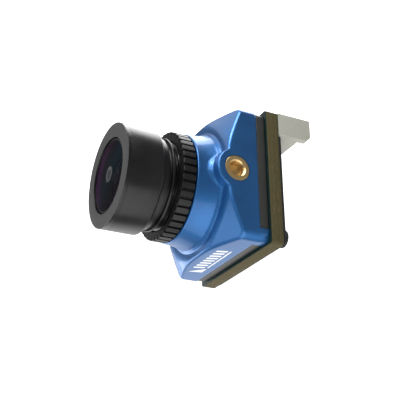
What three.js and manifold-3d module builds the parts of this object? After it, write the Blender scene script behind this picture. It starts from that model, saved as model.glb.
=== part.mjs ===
// A 19 mm board camera with a screw-in M12 wide-angle lens, in millimetres.
//
// +Z is up and the lens looks along -Y. Every station along the lens axis is a y value measured
// from the front plane of the rear board, so pieces in front of that board have a negative y.
// The whole camera is then shifted along Y, so that the origin lies on the lens axis, half way
// between the front of the lens and the back of the header.

import * as THREE from "three";
import { mergeVertices } from "three/addons/utils/BufferGeometryUtils.js";
import Module from "manifold-3d";

const wasm = await Module();
wasm.setup();

// ---------------------------------------------------------------- driving dimensions

// Clearances.
const seatGap = 0.05; // between two pieces that bear on each other
const fitGap = 0.1; // around a piece that sits in a pocket
const runGap = 0.1; // radial, around a threaded piece that turns
const overcut = 0.5; // how far a cutting tool runs past the face it opens

// Rear board.
const boardSide = 19;
const boardThickness = 1.9;
const boardCorner = 0.35;

// Housing: a square block, four sloping front facets, a round collar and two side bosses.
const bodyInset = 0.25; // housing side to board edge
const bodyCorner = 1.2;
const bodyWall = 2.25;
const shoulderDepth = 3.75; // front of the housing at its four corners
const facetSlope = 0.275; // rise of a facet for each mm towards the axis
const browDepth = 5.75; // front land in the middle of each side
const collarReach = 9.05;
const collarFrontRadius = 7.4;
const collarWaistRadius = 7.65;
const collarRootRadius = 7.9;
const collarBevel = 0.15;
const collarWaistBack = 1.25; // collar front to its waist
const collarRootBack = 2.75; // collar front to its widest ring
const boreWall = 0.9; // least metal between the lens bore and an insert pocket

// Band of seal let into the rear edge of the housing, left out at two opposite corners.
const rebateWidth = 1.4; // along the lens axis
const rebateDepth = 0.55; // into the housing side
const sealRecess = 0.13; // seal face below the housing side
const cornerTabX = 2.0; // housing left standing at the two corners, across
const cornerTabZ = 1.55; // and up

// Threaded inserts in the two side bosses.
const sideAxisDepth = 4.4; // side screw axis, in front of the board
const bossRadius = 2.8;
const padRadius = 3.5;
const padInset = 0.85; // pad face below the boss face
const insertRadius = 1.75;
const insertHoleRadius = 1.0;
const insertFloor = 0.4; // brass left behind the blind thread
const insertRecessRadius = 1.2;
const insertRecessDepth = 0.25;
const insertFaceInset = 0.03;
const insertKnurlGroove = 0.12;

// Electronics inside the housing.
const boardRoom = 1.35; // between the two boards
const sensorBoardThickness = 0.8;
const boardEdgeGap = 0.2;
const cornerCut = 2.0; // taken off the pocket's corners for the rear screws
const sensorRoom = 1.95; // sensor board to filter seat
const sensorRoomSide = 12.4;
const sensorSize = [8.0, 0.8, 7.0];
const sensorGlassSize = [6.8, 0.35, 5.8];
const gasketOuter = 11.4;
const gasketInner = 9.0;
const filterSide = 8.4;
const filterThickness = 0.3;
const filterWall = 0.35; // ring of housing between the filter and the lens bore
const apertureRadius = 3.4;
const linkSize = [5.4, 0.9, 2.2];
const linkTongue = [4.2, 0.6, 0.9];
const linkBaseThickness = 0.3;
const linkHeight = 4.6; // above the axis
const processorSize = [6.0, 0.8, 6.0];
const regulatorSize = [2.9, 0.9, 1.5];
const inductorSize = [3.0, 1.0, 3.0];
const crystalSize = [3.2, 0.7, 1.6];
const processorAt = [0, -0.4]; // centres of the chips, across and up
const regulatorAt = [-4.6, -5.0];
const inductorAt = [3.6, -5.0];
const crystalAt = [-4.9, 4.6];

// Screws that clamp the rear board, with their heads on the rear film.
const screwInset = 1.4; // screw axis to board edges
const screwRadius = 0.45;
const screwHoleRadius = 0.55;
const screwHeadRadius = 1.2;
const screwHeadHeight = 0.55;
const screwSlotWidth = 0.3;
const screwSlotDepth = 0.25;
const screwReach = 2.9; // into the housing, from the board's front plane

// Rear film and header.
const filmThickness = 0.4;
const filmInset = 0.2;
const filmFarInset = 1.0;
const headerPins = 6;
const headerPitch = 1.25;
const headerEndMargin = 1.5; // outer pin axis to the end of the shell
const headerDepth = 3.2;
const headerHeight = 5.05;
const headerFloor = 1.0;
const headerWall = 0.5;
const headerEndWall = 0.95;
const headerSlotDrop = 1.6; // how much lower the inner long wall is
const headerChamfer = 0.6;
const pinSide = 0.36;
const pinHoleGap = 0.1;
const pinTipBelow = 0.9; // pin tip below the shell's mouth

// Lock ring.
const threadRadius = 6.0; // M12
const threadPitch = 0.5;
const ringGap = 0.15;
const ringWidth = 1.8;
const ringRadius = 7.35;
const ribCount = 42;
const ribDepth = 0.32;
const ribShare = 0.62; // share of the pitch that is the top of a rib
const ribFlank = 0.05; // and that is each of its flanks

// Lens barrel.
const flangeStandoff = 0.65;
const flangeWidth = 0.3;
const flangeRadius = 6.3;
const grooveWidth = 0.45;
const grooveRadius = 5.75;
const neckLength = 0.9;
const neckRadius = 6.2;
const headLength = 4.5;
const headRadius = 7.0;
const headRound = 0.7;
const barrelEndRoom = 0.8; // barrel's rear end to the floor of the housing bore
const bezelThickness = 0.55;
const bezelOpening = 5.09;
const bezelSpigotDepth = 0.85;
const bezelSpigotWall = 0.45;
const barrelSkirtWall = 0.4; // barrel wall outside the bezel's spigot
const lipRadius = 3.9;
const lipThickness = 0.35;

// Optics. A curvature is positive when its centre lies behind the surface.
const glassGap = 0.08;
const domeRecess = 0.05; // dome below the front plane of the bezel
const domeClearRadius = 5.0;
const domeCurvature = 70;
const domeRimRadius = 5.85;
const domeLength = 2.65;
const domeRearClear = 4.2;
const domeRearCurvature = 6.0;
const sealRingRadius = 5.5;
const sealRingSection = 0.14;
const stackRadius = 4.4;
const second = { front: 12, frontClear: 3.5, rear: 5, rearClear: 3.2, rim: 1.5 };
const third = { front: 12, frontClear: 3.6, rear: -12, rearClear: 3.6, rim: 0.6 };
const fourth = { front: 8, frontClear: 3.4, rear: -7, rearClear: 3.4, rim: 0.6 };
const fifth = { front: -7, frontClear: 3.4, rear: -20, rearClear: 3.2, rim: 1.3 };
const spacerLength = 0.7;
const spacerBore = 3.6;
const stopHole = 1.3;
const stopDisc = 0.2;
const stopLength = 0.8;
const retainerLength = 0.8;
const retainerBore = 3.3;

const roundSteps = 40;
const opticSteps = 24;
const smallSteps = 20;
const curveSteps = 4;
const sealSteps = 6;

// ---------------------------------------------------------------- stations and derived sizes

const bodyHalf = boardSide / 2 - bodyInset;
const boardHalf = boardSide / 2;
const pocketHalf = bodyHalf - bodyWall;
const screwAt = boardHalf - screwInset;
const boreRadius = threadRadius + runGap;

const sensorBoardRear = -boardRoom;
const sensorBoardFront = sensorBoardRear - sensorBoardThickness;
const ledgeY = sensorBoardFront - seatGap;
const filterSeat = ledgeY - sensorRoom;
const filterFloor = filterSeat - filterThickness - 2 * seatGap;
const boreFloor = filterFloor - filterWall;
const sideAxisY = -sideAxisDepth;
const collarFront = -collarReach;

const ringRear = collarFront - ringGap;
const ringFront = ringRear - ringWidth;

const flangeRear = ringFront - flangeStandoff;
const flangeFront = flangeRear - flangeWidth;
const grooveFront = flangeFront - grooveWidth;
const headRear = grooveFront - neckLength;
const barrelFront = headRear - headLength;
const bezelRear = barrelFront - seatGap;
const lensFront = bezelRear - bezelThickness;
const barrelRear = boreFloor - barrelEndRoom;

const spigotOuter = headRadius - barrelSkirtWall - fitGap;
const spigotRear = bezelRear + bezelSpigotDepth;

const domeApex = lensFront + domeRecess;
const domeRimFront = bezelRear + 2 * (sealRingSection + seatGap); // behind the seal
const domeRearRim = domeApex + domeLength;
const lipFront = domeRearRim + seatGap;
const lipRear = lipFront + lipThickness;

const boardRear = boardThickness;
const filmFront = boardRear + seatGap;
const filmRear = filmFront + filmThickness;
const headerFoot = boardRear + seatGap;
const headerMouth = headerFoot + headerHeight;
const headerLength = (headerPins - 1) * headerPitch + 2 * headerEndMargin;
const headerLeft = -boardHalf;
const headerRight = headerLeft + headerLength;
const headerBottom = -boardHalf;
const headerTop = headerBottom + headerDepth;

const originShift = -(lensFront + headerMouth) / 2;

// ---------------------------------------------------------------- materials

function finish(colour, roughness, metalness = 0) {
  return new THREE.MeshStandardMaterial({ color: colour, roughness, metalness });
}

const bluePaint = finish(0x2f6fb0, 0.34, 0.55);
const brass = finish(0xb08a3e, 0.32, 1);
const blackAnodised = finish(0x1b1b1c, 0.42, 0.5);
const bezelGrey = finish(0x3c3c3b, 0.45, 0.5);
const glass = finish(0x152028, 0.05, 0);
const filterGlass = finish(0x5a8f9c, 0.05, 0);
const rubber = finish(0x232222, 0.8, 0);
const boardLaminate = finish(0x5a5138, 0.6, 0);
const blackBoard = finish(0x16241f, 0.55, 0);
const blackFilm = finish(0x101312, 0.5, 0);
const headerPlastic = finish(0xc9c6b8, 0.5, 0);
const tinned = finish(0xc9c5b4, 0.3, 1);
const chipPlastic = finish(0x17181a, 0.5, 0);
const steel = finish(0x2a2a2b, 0.35, 1);

// ---------------------------------------------------------------- shape helpers

// A closed mesh with shared vertices and no triangle that has shrunk to a line.
function welded(geometry) {
  const bare = geometry.clone();
  bare.deleteAttribute("normal");
  bare.deleteAttribute("uv");
  const merged = mergeVertices(bare, 1e-5);
  const index = merged.index.array;
  const kept = [];
  for (let i = 0; i < index.length; i += 3) {
    const [a, b, c] = [index[i], index[i + 1], index[i + 2]];
    if (a !== b && b !== c && c !== a) kept.push(a, b, c);
  }
  merged.setIndex(kept);
  return merged;
}

function solid(geometry) {
  const merged = welded(geometry);
  const mesh = new wasm.Mesh({
    numProp: 3,
    vertProperties: Float32Array.from(merged.attributes.position.array),
    triVerts: Uint32Array.from(merged.index.array),
  });
  return new wasm.Manifold(mesh);
}

function shell(manifold) {
  const mesh = manifold.getMesh();
  const geometry = new THREE.BufferGeometry();
  geometry.setAttribute("position", new THREE.BufferAttribute(mesh.vertProperties, 3));
  geometry.setIndex(new THREE.BufferAttribute(mesh.triVerts, 1));
  geometry.computeVertexNormals();
  return geometry;
}

function join(first, ...others) {
  return others.reduce((sum, other) => sum.add(solid(other)), first);
}

function cut(first, ...tools) {
  return tools.reduce((rest, tool) => rest.subtract(solid(tool)), first);
}

// An outline in x and z, carried along the lens axis from front to rear.
function plate(outline, front, rear) {
  const geometry = new THREE.ExtrudeGeometry(outline, {
    depth: rear - front,
    bevelEnabled: false,
    curveSegments: 6,
  });
  geometry.rotateX(Math.PI / 2);
  geometry.translate(0, rear, 0);
  return geometry;
}

function rectangle(left, right, bottom, top, corner = 0) {
  const outline = new THREE.Shape();
  if (corner === 0) {
    outline.moveTo(left, bottom);
    outline.lineTo(right, bottom);
    outline.lineTo(right, top);
    outline.lineTo(left, top);
    outline.closePath();
    return outline;
  }
  outline.moveTo(left + corner, bottom);
  outline.lineTo(right - corner, bottom);
  outline.absarc(right - corner, bottom + corner, corner, -Math.PI / 2, 0);
  outline.lineTo(right, top - corner);
  outline.absarc(right - corner, top - corner, corner, 0, Math.PI / 2);
  outline.lineTo(left + corner, top);
  outline.absarc(left + corner, top - corner, corner, Math.PI / 2, Math.PI);
  outline.lineTo(left, bottom + corner);
  outline.absarc(left + corner, bottom + corner, corner, Math.PI, Math.PI * 1.5);
  return outline;
}

function square(half, corner = 0) {
  return rectangle(-half, half, -half, half, corner);
}

function clippedSquare(half, clip) {
  const outline = new THREE.Shape();
  const near = half - clip;
  outline.moveTo(-near, -half);
  outline.lineTo(near, -half);
  outline.lineTo(half, -near);
  outline.lineTo(half, near);
  outline.lineTo(near, half);
  outline.lineTo(-near, half);
  outline.lineTo(-half, near);
  outline.lineTo(-half, -near);
  outline.closePath();
  return outline;
}

function block([width, length, height], x, y, z) {
  const geometry = new THREE.BoxGeometry(width, length, height);
  geometry.translate(x, y, z);
  return geometry;
}

// A cylinder along the lens axis between two stations.
function axial(radius, front, rear, x = 0, z = 0, steps = smallSteps) {
  const geometry = new THREE.CylinderGeometry(radius, radius, rear - front, steps);
  geometry.translate(x, (front + rear) / 2, z);
  return geometry;
}

// A cylinder across the camera, centred on the side screw axis.
function sideways(radius, from, to, steps = smallSteps) {
  const geometry = new THREE.CylinderGeometry(radius, radius, Math.abs(to - from), steps);
  geometry.rotateZ(Math.PI / 2);
  geometry.translate((from + to) / 2, sideAxisY, 0);
  return geometry;
}

// A body of revolution about the lens axis from a closed loop of [radius, y] points.
function turned(loop, steps = roundSteps) {
  let area = 0;
  loop.forEach(([r, y], i) => {
    const [nextR, nextY] = loop[(i + 1) % loop.length];
    area += r * nextY - nextR * y;
  });
  const ordered = area > 0 ? loop : [...loop].reverse();
  const points = [...ordered, ordered[0]].map(([r, y]) => new THREE.Vector2(r, y));
  return welded(new THREE.LatheGeometry(points, steps));
}

// How far a spherical face of that curvature has moved along y at a radius.
function sag(radius, curvature) {
  return curvature - Math.sign(curvature) * Math.sqrt(curvature ** 2 - radius ** 2);
}

function sphericalFace(apex, curvature, clear) {
  const points = [];
  for (let i = 0; i <= curveSteps; i += 1) {
    const r = (clear * i) / curveSteps;
    points.push([r, apex + sag(r, curvature)]);
  }
  return points;
}

// A lens element whose flat front rim lies at the given station.
function element(frontRim, { front, frontClear, rear, rearClear, rim }, outer) {
  const rearRim = frontRim + rim;
  const frontFace = sphericalFace(frontRim - sag(frontClear, front), front, frontClear);
  const rearFace = sphericalFace(rearRim - sag(rearClear, rear), rear, rearClear);
  return turned([...frontFace, [outer, frontRim], [outer, rearRim], ...rearFace.reverse()], opticSteps);
}

function washer(inner, outer, front, rear) {
  return turned([[inner, front], [outer, front], [outer, rear], [inner, rear]], opticSteps);
}

// ---------------------------------------------------------------- housing

function facetPyramid() {
  const base = overcut;
  const apex = -(shoulderDepth + facetSlope * 2 * bodyHalf);
  const height = base - apex;
  const pyramid = new THREE.ConeGeometry(height / facetSlope, height, 4);
  pyramid.rotateX(Math.PI);
  pyramid.translate(0, apex + height / 2, 0);
  return pyramid;
}

function collar() {
  return turned([
    [0, collarFront],
    [collarFrontRadius - collarBevel, collarFront],
    [collarFrontRadius, collarFront + collarBevel],
    [collarWaistRadius, collarFront + collarWaistBack],
    [collarRootRadius, collarFront + collarRootBack],
    [collarRootRadius, -shoulderDepth],
    [0, -shoulderDepth],
  ]);
}

// The two opposite corners where the housing keeps its full width up to the rear board.
function tabCorners(half, margin) {
  const far = bodyHalf + overcut;
  const x = half - cornerTabX - margin;
  const z = half - cornerTabZ - margin;
  const front = -rebateWidth - overcut;
  const left = plate(rectangle(-far, -x, z, far), front, overcut);
  const right = plate(rectangle(x, far, -far, -z), front, overcut);
  return [left, right];
}

function rebateBand() {
  const band = cut(
    solid(plate(square(bodyHalf + overcut), -rebateWidth, overcut)),
    plate(square(bodyHalf - rebateDepth, bodyCorner - rebateDepth), -rebateWidth - overcut, overcut * 2),
  );
  return cut(band, ...tabCorners(bodyHalf, 0));
}

function screwHoles(radius, front, rear) {
  return [axial(radius, front, rear, -screwAt, screwAt), axial(radius, front, rear, screwAt, -screwAt)];
}

function insertInnerEnd() {
  return boreRadius + boreWall;
}

function housing() {
  const blank = solid(plate(square(bodyHalf, bodyCorner), -browDepth, 0)).intersect(solid(facetPyramid()));
  let body = join(blank, collar());
  for (const side of [-1, 1]) {
    const root = side * insertInnerEnd();
    body = join(
      body,
      sideways(bossRadius, side * (boreRadius + seatGap), side * bodyHalf, roundSteps),
      sideways(padRadius, side * (boreRadius + seatGap), side * (bodyHalf - padInset), roundSteps),
    );
    body = cut(body, sideways(insertRadius + seatGap, root, side * (bodyHalf + overcut)));
  }
  body = cut(
    body,
    axial(boreRadius, collarFront - overcut, boreFloor, 0, 0, roundSteps),
    axial(apertureRadius, boreFloor - overcut, filterSeat, 0, 0, roundSteps),
    plate(square(filterSide / 2 + fitGap), filterFloor, filterSeat + overcut),
    plate(square(sensorRoomSide / 2, bodyCorner), filterSeat, ledgeY + overcut),
    plate(clippedSquare(pocketHalf, cornerCut), ledgeY, overcut),
    ...screwHoles(screwHoleRadius, -screwReach - fitGap, overcut),
  );
  return shell(body.subtract(rebateBand()));
}

// One of the two L-shaped bands: -1 runs round the lower left corner, 1 round the upper right.
function rimSeal(side) {
  const outer = bodyHalf - sealRecess;
  const inner = bodyHalf - rebateDepth + fitGap;
  const front = -rebateWidth + fitGap;
  const rear = -seatGap;
  const innerCorner = bodyCorner - rebateDepth + fitGap;
  let band = solid(plate(square(outer, bodyCorner - sealRecess), front, rear));
  band = cut(
    band,
    plate(square(inner, innerCorner), front - overcut, rear + overcut),
    ...tabCorners(bodyHalf, fitGap),
  );
  const reach = side * boardSide * 2;
  const half = new THREE.Shape();
  half.moveTo(-reach, reach);
  half.lineTo(reach, reach);
  half.lineTo(reach, -reach);
  half.closePath();
  return shell(band.intersect(solid(plate(half, front - overcut, rear + overcut))));
}

// A brass insert: a blind threaded hole in a knurled bush with a shallow recess in its face.
function sideInsert(side) {
  const face = bodyHalf - insertFaceInset;
  const back = insertInnerEnd() + fitGap;
  const middle = (face + back) / 2;
  const waist = insertRadius - insertKnurlGroove;
  const bush = turned([
    [0, back],
    [insertRadius, back],
    [insertRadius, middle - insertKnurlGroove * 2],
    [waist, middle - insertKnurlGroove],
    [waist, middle + insertKnurlGroove],
    [insertRadius, middle + insertKnurlGroove * 2],
    [insertRadius, face],
    [insertRecessRadius, face],
    [insertRecessRadius, face - insertRecessDepth],
    [insertHoleRadius, face - insertRecessDepth],
    [insertHoleRadius, back + insertFloor],
    [0, back + insertFloor],
  ], smallSteps);
  bush.rotateZ(-side * Math.PI / 2);
  bush.translate(0, sideAxisY, 0);
  return bush;
}

// ---------------------------------------------------------------- electronics

function rearBoard() {
  const blank = solid(plate(square(boardHalf, boardCorner), 0, boardRear));
  return shell(cut(blank, ...screwHoles(screwHoleRadius, -overcut, boardRear + overcut)));
}

function rearFilm() {
  const outline = new THREE.Shape();
  const edge = boardHalf - filmInset;
  const far = boardHalf - filmFarInset;
  outline.moveTo(-edge, headerTop + fitGap);
  outline.lineTo(headerRight + fitGap, headerTop + fitGap);
  outline.lineTo(headerRight + fitGap, -edge);
  outline.lineTo(far, -edge);
  outline.lineTo(far, edge);
  outline.lineTo(-edge, edge);
  outline.closePath();
  const blank = solid(plate(outline, filmFront, filmRear));
  return shell(cut(blank, ...screwHoles(screwHoleRadius, filmFront - overcut, filmRear + overcut)));
}

function rearScrew(x, z) {
  const seat = filmRear + seatGap;
  const top = seat + screwHeadHeight;
  const edge = screwHeadRadius * 0.72;
  const shank = turned([
    [0, -screwReach],
    [screwRadius, -screwReach],
    [screwRadius, seat],
    [screwHeadRadius, seat],
    [screwHeadRadius, seat + screwHeadHeight / 2],
    [edge, top],
    [0, top],
  ], smallSteps);
  const slot = [screwHeadRadius, screwSlotDepth * 2, screwSlotWidth];
  const cross = [screwSlotWidth, screwSlotDepth * 2, screwHeadRadius];
  const screw = shell(cut(solid(shank), block(slot, 0, top, 0), block(cross, 0, top, 0)));
  screw.translate(x, 0, z);
  return screw;
}

function sensorBoard() {
  const half = pocketHalf - boardEdgeGap;
  return plate(clippedSquare(half, cornerCut + boardEdgeGap), sensorBoardFront, sensorBoardRear);
}

function imageSensor() {
  const length = sensorSize[1];
  const rear = sensorBoardFront - seatGap;
  const carrier = solid(block(sensorSize, 0, rear - length / 2, 0));
  const [glassWidth, glassLength, glassHeight] = sensorGlassSize;
  const recess = [glassWidth + 2 * fitGap, 2 * (glassLength + seatGap), glassHeight + 2 * fitGap];
  return shell(cut(carrier, block(recess, 0, rear - length, 0)));
}

function sensorGlass() {
  const front = sensorBoardFront - seatGap - sensorSize[1];
  return block(sensorGlassSize, 0, front + sensorGlassSize[1] / 2, 0);
}

function sensorGasket() {
  const front = filterSeat + seatGap;
  const rear = sensorBoardFront - seatGap;
  const ring = solid(plate(square(gasketOuter / 2, bodyCorner), front, rear));
  return shell(cut(ring, plate(square(gasketInner / 2), front - overcut, rear + overcut)));
}

function infraredFilter() {
  const front = filterFloor + seatGap;
  return plate(square(filterSide / 2), front, front + filterThickness);
}

// The half of the board-to-board connector on the rear board, with a slot for the tongue.
function linkSocket() {
  const rear = -seatGap;
  const body = solid(block(linkSize, 0, rear - linkSize[1] / 2, linkHeight));
  const slot = [linkTongue[0] + 2 * fitGap, 2 * (linkTongue[1] + fitGap), linkTongue[2] + 2 * fitGap];
  return shell(cut(body, block(slot, 0, rear - linkSize[1], linkHeight)));
}

function linkPlug() {
  const rear = sensorBoardRear + seatGap;
  const base = [linkSize[0], linkBaseThickness, linkSize[2]];
  const body = solid(block(base, 0, rear + linkBaseThickness / 2, linkHeight));
  const tongue = [linkTongue[0], linkTongue[1] + linkBaseThickness, linkTongue[2]];
  return shell(join(body, block(tongue, 0, rear + tongue[1] / 2, linkHeight)));
}

// A chip on the front face of the rear board.
function chip(size, [x, z]) {
  return block(size, x, -seatGap - size[1] / 2, z);
}

// ---------------------------------------------------------------- header

function pinAxis(i) {
  return headerLeft + headerEndMargin + i * headerPitch;
}

function headerShell() {
  const midX = (headerLeft + headerRight) / 2;
  const midZ = (headerBottom + headerTop) / 2;
  const rowHalf = headerLength / 2 - headerEndWall;
  const outer = [headerLength, headerHeight, headerDepth];
  const blank = solid(block(outer, midX, (headerFoot + headerMouth) / 2, midZ));
  const cavityFloor = headerFoot + headerFloor;
  const cavityLength = headerMouth - cavityFloor + overcut;
  const cavity = [2 * rowHalf, cavityLength, headerDepth - 2 * headerWall];
  const slot = [2 * rowHalf, headerSlotDrop + overcut, headerDepth];
  const tools = [
    block(cavity, midX, cavityFloor + cavityLength / 2, midZ),
    block(slot, midX, headerMouth - headerSlotDrop + slot[1] / 2, midZ + headerDepth / 2),
  ];
  const bar = headerChamfer * Math.SQRT2;
  const chamfer = new THREE.BoxGeometry(headerLength + 2 * overcut, bar, bar);
  chamfer.rotateX(Math.PI / 4);
  chamfer.translate(midX, headerMouth, headerTop);
  tools.push(chamfer);
  const holeSide = pinSide + 2 * pinHoleGap;
  const hole = [holeSide, headerFloor + 2 * overcut, holeSide];
  for (let i = 0; i < headerPins; i += 1) {
    tools.push(block(hole, pinAxis(i), headerFoot + headerFloor / 2, midZ));
  }
  return shell(cut(blank, ...tools));
}

function headerPin(i) {
  const foot = boardRear + seatGap;
  const tip = headerMouth - pinTipBelow;
  const midZ = (headerBottom + headerTop) / 2;
  return block([pinSide, tip - foot, pinSide], pinAxis(i), (foot + tip) / 2, midZ);
}

// ---------------------------------------------------------------- lens

function lockRing() {
  const pitch = (2 * Math.PI) / ribCount;
  const half = (pitch * ribShare) / 2;
  const flank = pitch * ribFlank;
  const valley = ringRadius - ribDepth;
  const corners = [];
  for (let i = 0; i < ribCount; i += 1) {
    const middle = i * pitch;
    const rib = [[valley, -half - flank], [ringRadius, -half], [ringRadius, half], [valley, half + flank]];
    for (const [r, turn] of rib) {
      corners.push(new THREE.Vector2(r * Math.cos(middle + turn), r * Math.sin(middle + turn)));
    }
  }
  const blank = solid(plate(new THREE.Shape(corners), ringFront, ringRear));
  return shell(cut(blank, axial(boreRadius, ringFront - overcut, ringRear + overcut, 0, 0, roundSteps)));
}

function lensBarrel() {
  const skirt = headRadius - barrelSkirtWall;
  const frontBore = domeRimRadius + fitGap;
  const rearBore = stackRadius + fitGap;
  const round = [0, 1, 2, 3].map((i) => {
    const angle = (i / 3) * (Math.PI / 2);
    const step = headRadius - neckRadius;
    return [neckRadius + step * Math.cos(angle), headRear - headRound + headRound * Math.sin(angle)];
  });
  return turned([
    [skirt, barrelFront],
    [headRadius, barrelFront],
    ...round,
    [neckRadius, grooveFront],
    [grooveRadius, grooveFront],
    [grooveRadius, flangeFront],
    [flangeRadius, flangeFront],
    [flangeRadius, flangeRear],
    [threadRadius, flangeRear],
    [threadRadius, barrelRear - threadPitch],
    [threadRadius - threadPitch / 2, barrelRear],
    [rearBore, barrelRear],
    [rearBore, lipRear],
    [lipRadius, lipRear],
    [lipRadius, lipFront],
    [frontBore, lipFront],
    [frontBore, spigotRear + fitGap],
    [skirt, spigotRear + fitGap],
  ]);
}

function frontBezel() {
  const bevel = 0.06;
  const spigotInner = spigotOuter - bezelSpigotWall;
  return turned([
    [bezelOpening, lensFront],
    [headRadius - bevel, lensFront],
    [headRadius, lensFront + bevel],
    [headRadius, bezelRear],
    [spigotOuter, bezelRear],
    [spigotOuter, spigotRear],
    [spigotInner, spigotRear],
    [spigotInner, bezelRear],
    [bezelOpening, bezelRear],
  ]);
}

function frontSeal() {
  const middle = bezelRear + seatGap + sealRingSection;
  const loop = [];
  for (let i = 0; i < sealSteps; i += 1) {
    const angle = (i * 2 * Math.PI) / sealSteps;
    const [across, along] = [Math.cos(angle), Math.sin(angle)];
    loop.push([sealRingRadius + sealRingSection * across, middle + sealRingSection * along]);
  }
  return turned(loop, opticSteps);
}

function frontElement() {
  const frontFace = sphericalFace(domeApex, domeCurvature, domeClearRadius);
  const rearApex = domeRearRim - sag(domeRearClear, domeRearCurvature);
  const rearFace = sphericalFace(rearApex, domeRearCurvature, domeRearClear);
  const step = [domeClearRadius, domeRimFront];
  const rims = [[domeRimRadius, domeRimFront], [domeRimRadius, domeRearRim]];
  return turned([...frontFace, step, ...rims, ...rearFace.reverse()], opticSteps);
}

// Stations of the glass behind the lip: the front group hangs from the lip, the rear group from
// the retainer at the barrel's rear end, and the long spacer fills what is left between them.
const secondFront = lipRear + seatGap;
const frontSpacerFront = secondFront + second.rim + seatGap;
const stopFront = frontSpacerFront + spacerLength + seatGap;
const thirdFront = stopFront + stopLength + seatGap;
const rearSpacerFront = thirdFront + third.rim + seatGap;
const retainerRear = barrelRear - fitGap;
const retainerFront = retainerRear - retainerLength;
const fifthFront = retainerFront - seatGap - fifth.rim;
const fourthFront = fifthFront - glassGap - fourth.rim;
const rearSpacerRear = fourthFront - seatGap;

function apertureStop() {
  return turned([
    [stopHole, stopFront],
    [stackRadius, stopFront],
    [stackRadius, stopFront + stopLength],
    [spacerBore + fitGap, stopFront + stopLength],
    [spacerBore + fitGap, stopFront + stopDisc],
    [stopHole, stopFront + stopDisc],
  ], opticSteps);
}

// ---------------------------------------------------------------- assembly

function piece(parent, name, geometry, material) {
  const mesh = new THREE.Mesh(geometry, material);
  mesh.name = name;
  parent.add(mesh);
}

function addHousing(camera) {
  piece(camera, "housing", housing(), bluePaint);
  piece(camera, "rim_seal_left", rimSeal(-1), rubber);
  piece(camera, "rim_seal_right", rimSeal(1), rubber);
  piece(camera, "side_insert_left", sideInsert(-1), brass);
  piece(camera, "side_insert_right", sideInsert(1), brass);
}

function addElectronics(camera) {
  piece(camera, "infrared_filter", infraredFilter(), filterGlass);
  piece(camera, "sensor_gasket", sensorGasket(), rubber);
  piece(camera, "sensor_glass", sensorGlass(), glass);
  piece(camera, "image_sensor", imageSensor(), chipPlastic);
  piece(camera, "sensor_board", sensorBoard(), blackBoard);
  piece(camera, "board_link_plug", linkPlug(), headerPlastic);
  piece(camera, "board_link_socket", linkSocket(), headerPlastic);
  piece(camera, "processor_chip", chip(processorSize, processorAt), chipPlastic);
  piece(camera, "regulator_chip", chip(regulatorSize, regulatorAt), chipPlastic);
  piece(camera, "power_inductor", chip(inductorSize, inductorAt), chipPlastic);
  piece(camera, "crystal", chip(crystalSize, crystalAt), tinned);
  piece(camera, "rear_board", rearBoard(), boardLaminate);
  piece(camera, "rear_film", rearFilm(), blackFilm);
  piece(camera, "rear_screw_upper", rearScrew(-screwAt, screwAt), steel);
  piece(camera, "rear_screw_lower", rearScrew(screwAt, -screwAt), steel);
  piece(camera, "header_shell", headerShell(), headerPlastic);
  for (let i = 0; i < headerPins; i += 1) {
    piece(camera, `header_pin_${i + 1}`, headerPin(i), tinned);
  }
}

function frontSpacer() {
  return washer(spacerBore, stackRadius, frontSpacerFront, stopFront - seatGap);
}

function rearSpacer() {
  return washer(spacerBore + fitGap, stackRadius, rearSpacerFront, rearSpacerRear);
}

function addLens(camera) {
  const lens = new THREE.Group();
  camera.add(lens);
  piece(lens, "lens_barrel", lensBarrel(), blackAnodised);
  piece(lens, "front_bezel", frontBezel(), bezelGrey);
  piece(lens, "front_seal", frontSeal(), rubber);
  piece(lens, "front_element", frontElement(), glass);
  piece(lens, "second_element", element(secondFront, second, stackRadius), glass);
  piece(lens, "front_spacer", frontSpacer(), blackAnodised);
  piece(lens, "aperture_stop", apertureStop(), blackAnodised);
  piece(lens, "third_element", element(thirdFront, third, stackRadius), glass);
  piece(lens, "rear_spacer", rearSpacer(), blackAnodised);
  piece(lens, "fourth_element", element(fourthFront, fourth, stackRadius), glass);
  piece(lens, "fifth_element", element(fifthFront, fifth, stackRadius), glass);
  piece(lens, "rear_retainer", washer(retainerBore, stackRadius, retainerFront, retainerRear), blackAnodised);
}

const group = new THREE.Group();
group.position.set(0, originShift, 0);
addHousing(group);
addElectronics(group);
piece(group, "lock_ring", lockRing(), blackAnodised);
addLens(group);

export default group;
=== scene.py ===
"""Looks of a micro board camera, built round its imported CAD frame.

Lengths are in millimetres in the camera's own stations: y = 0 is the front plane of the rear
board, the lens looks along -y and its axis is x = z = 0. Meshes are written in metres, moved
along y by the frame's datum, so that every piece lands where the CAD has it.
"""

import logging
import math
from dataclasses import dataclass, field
from enum import Enum
from typing import Sequence, Union

import bmesh
import bpy
import numpy as np
from mathutils import Matrix, Vector


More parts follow.
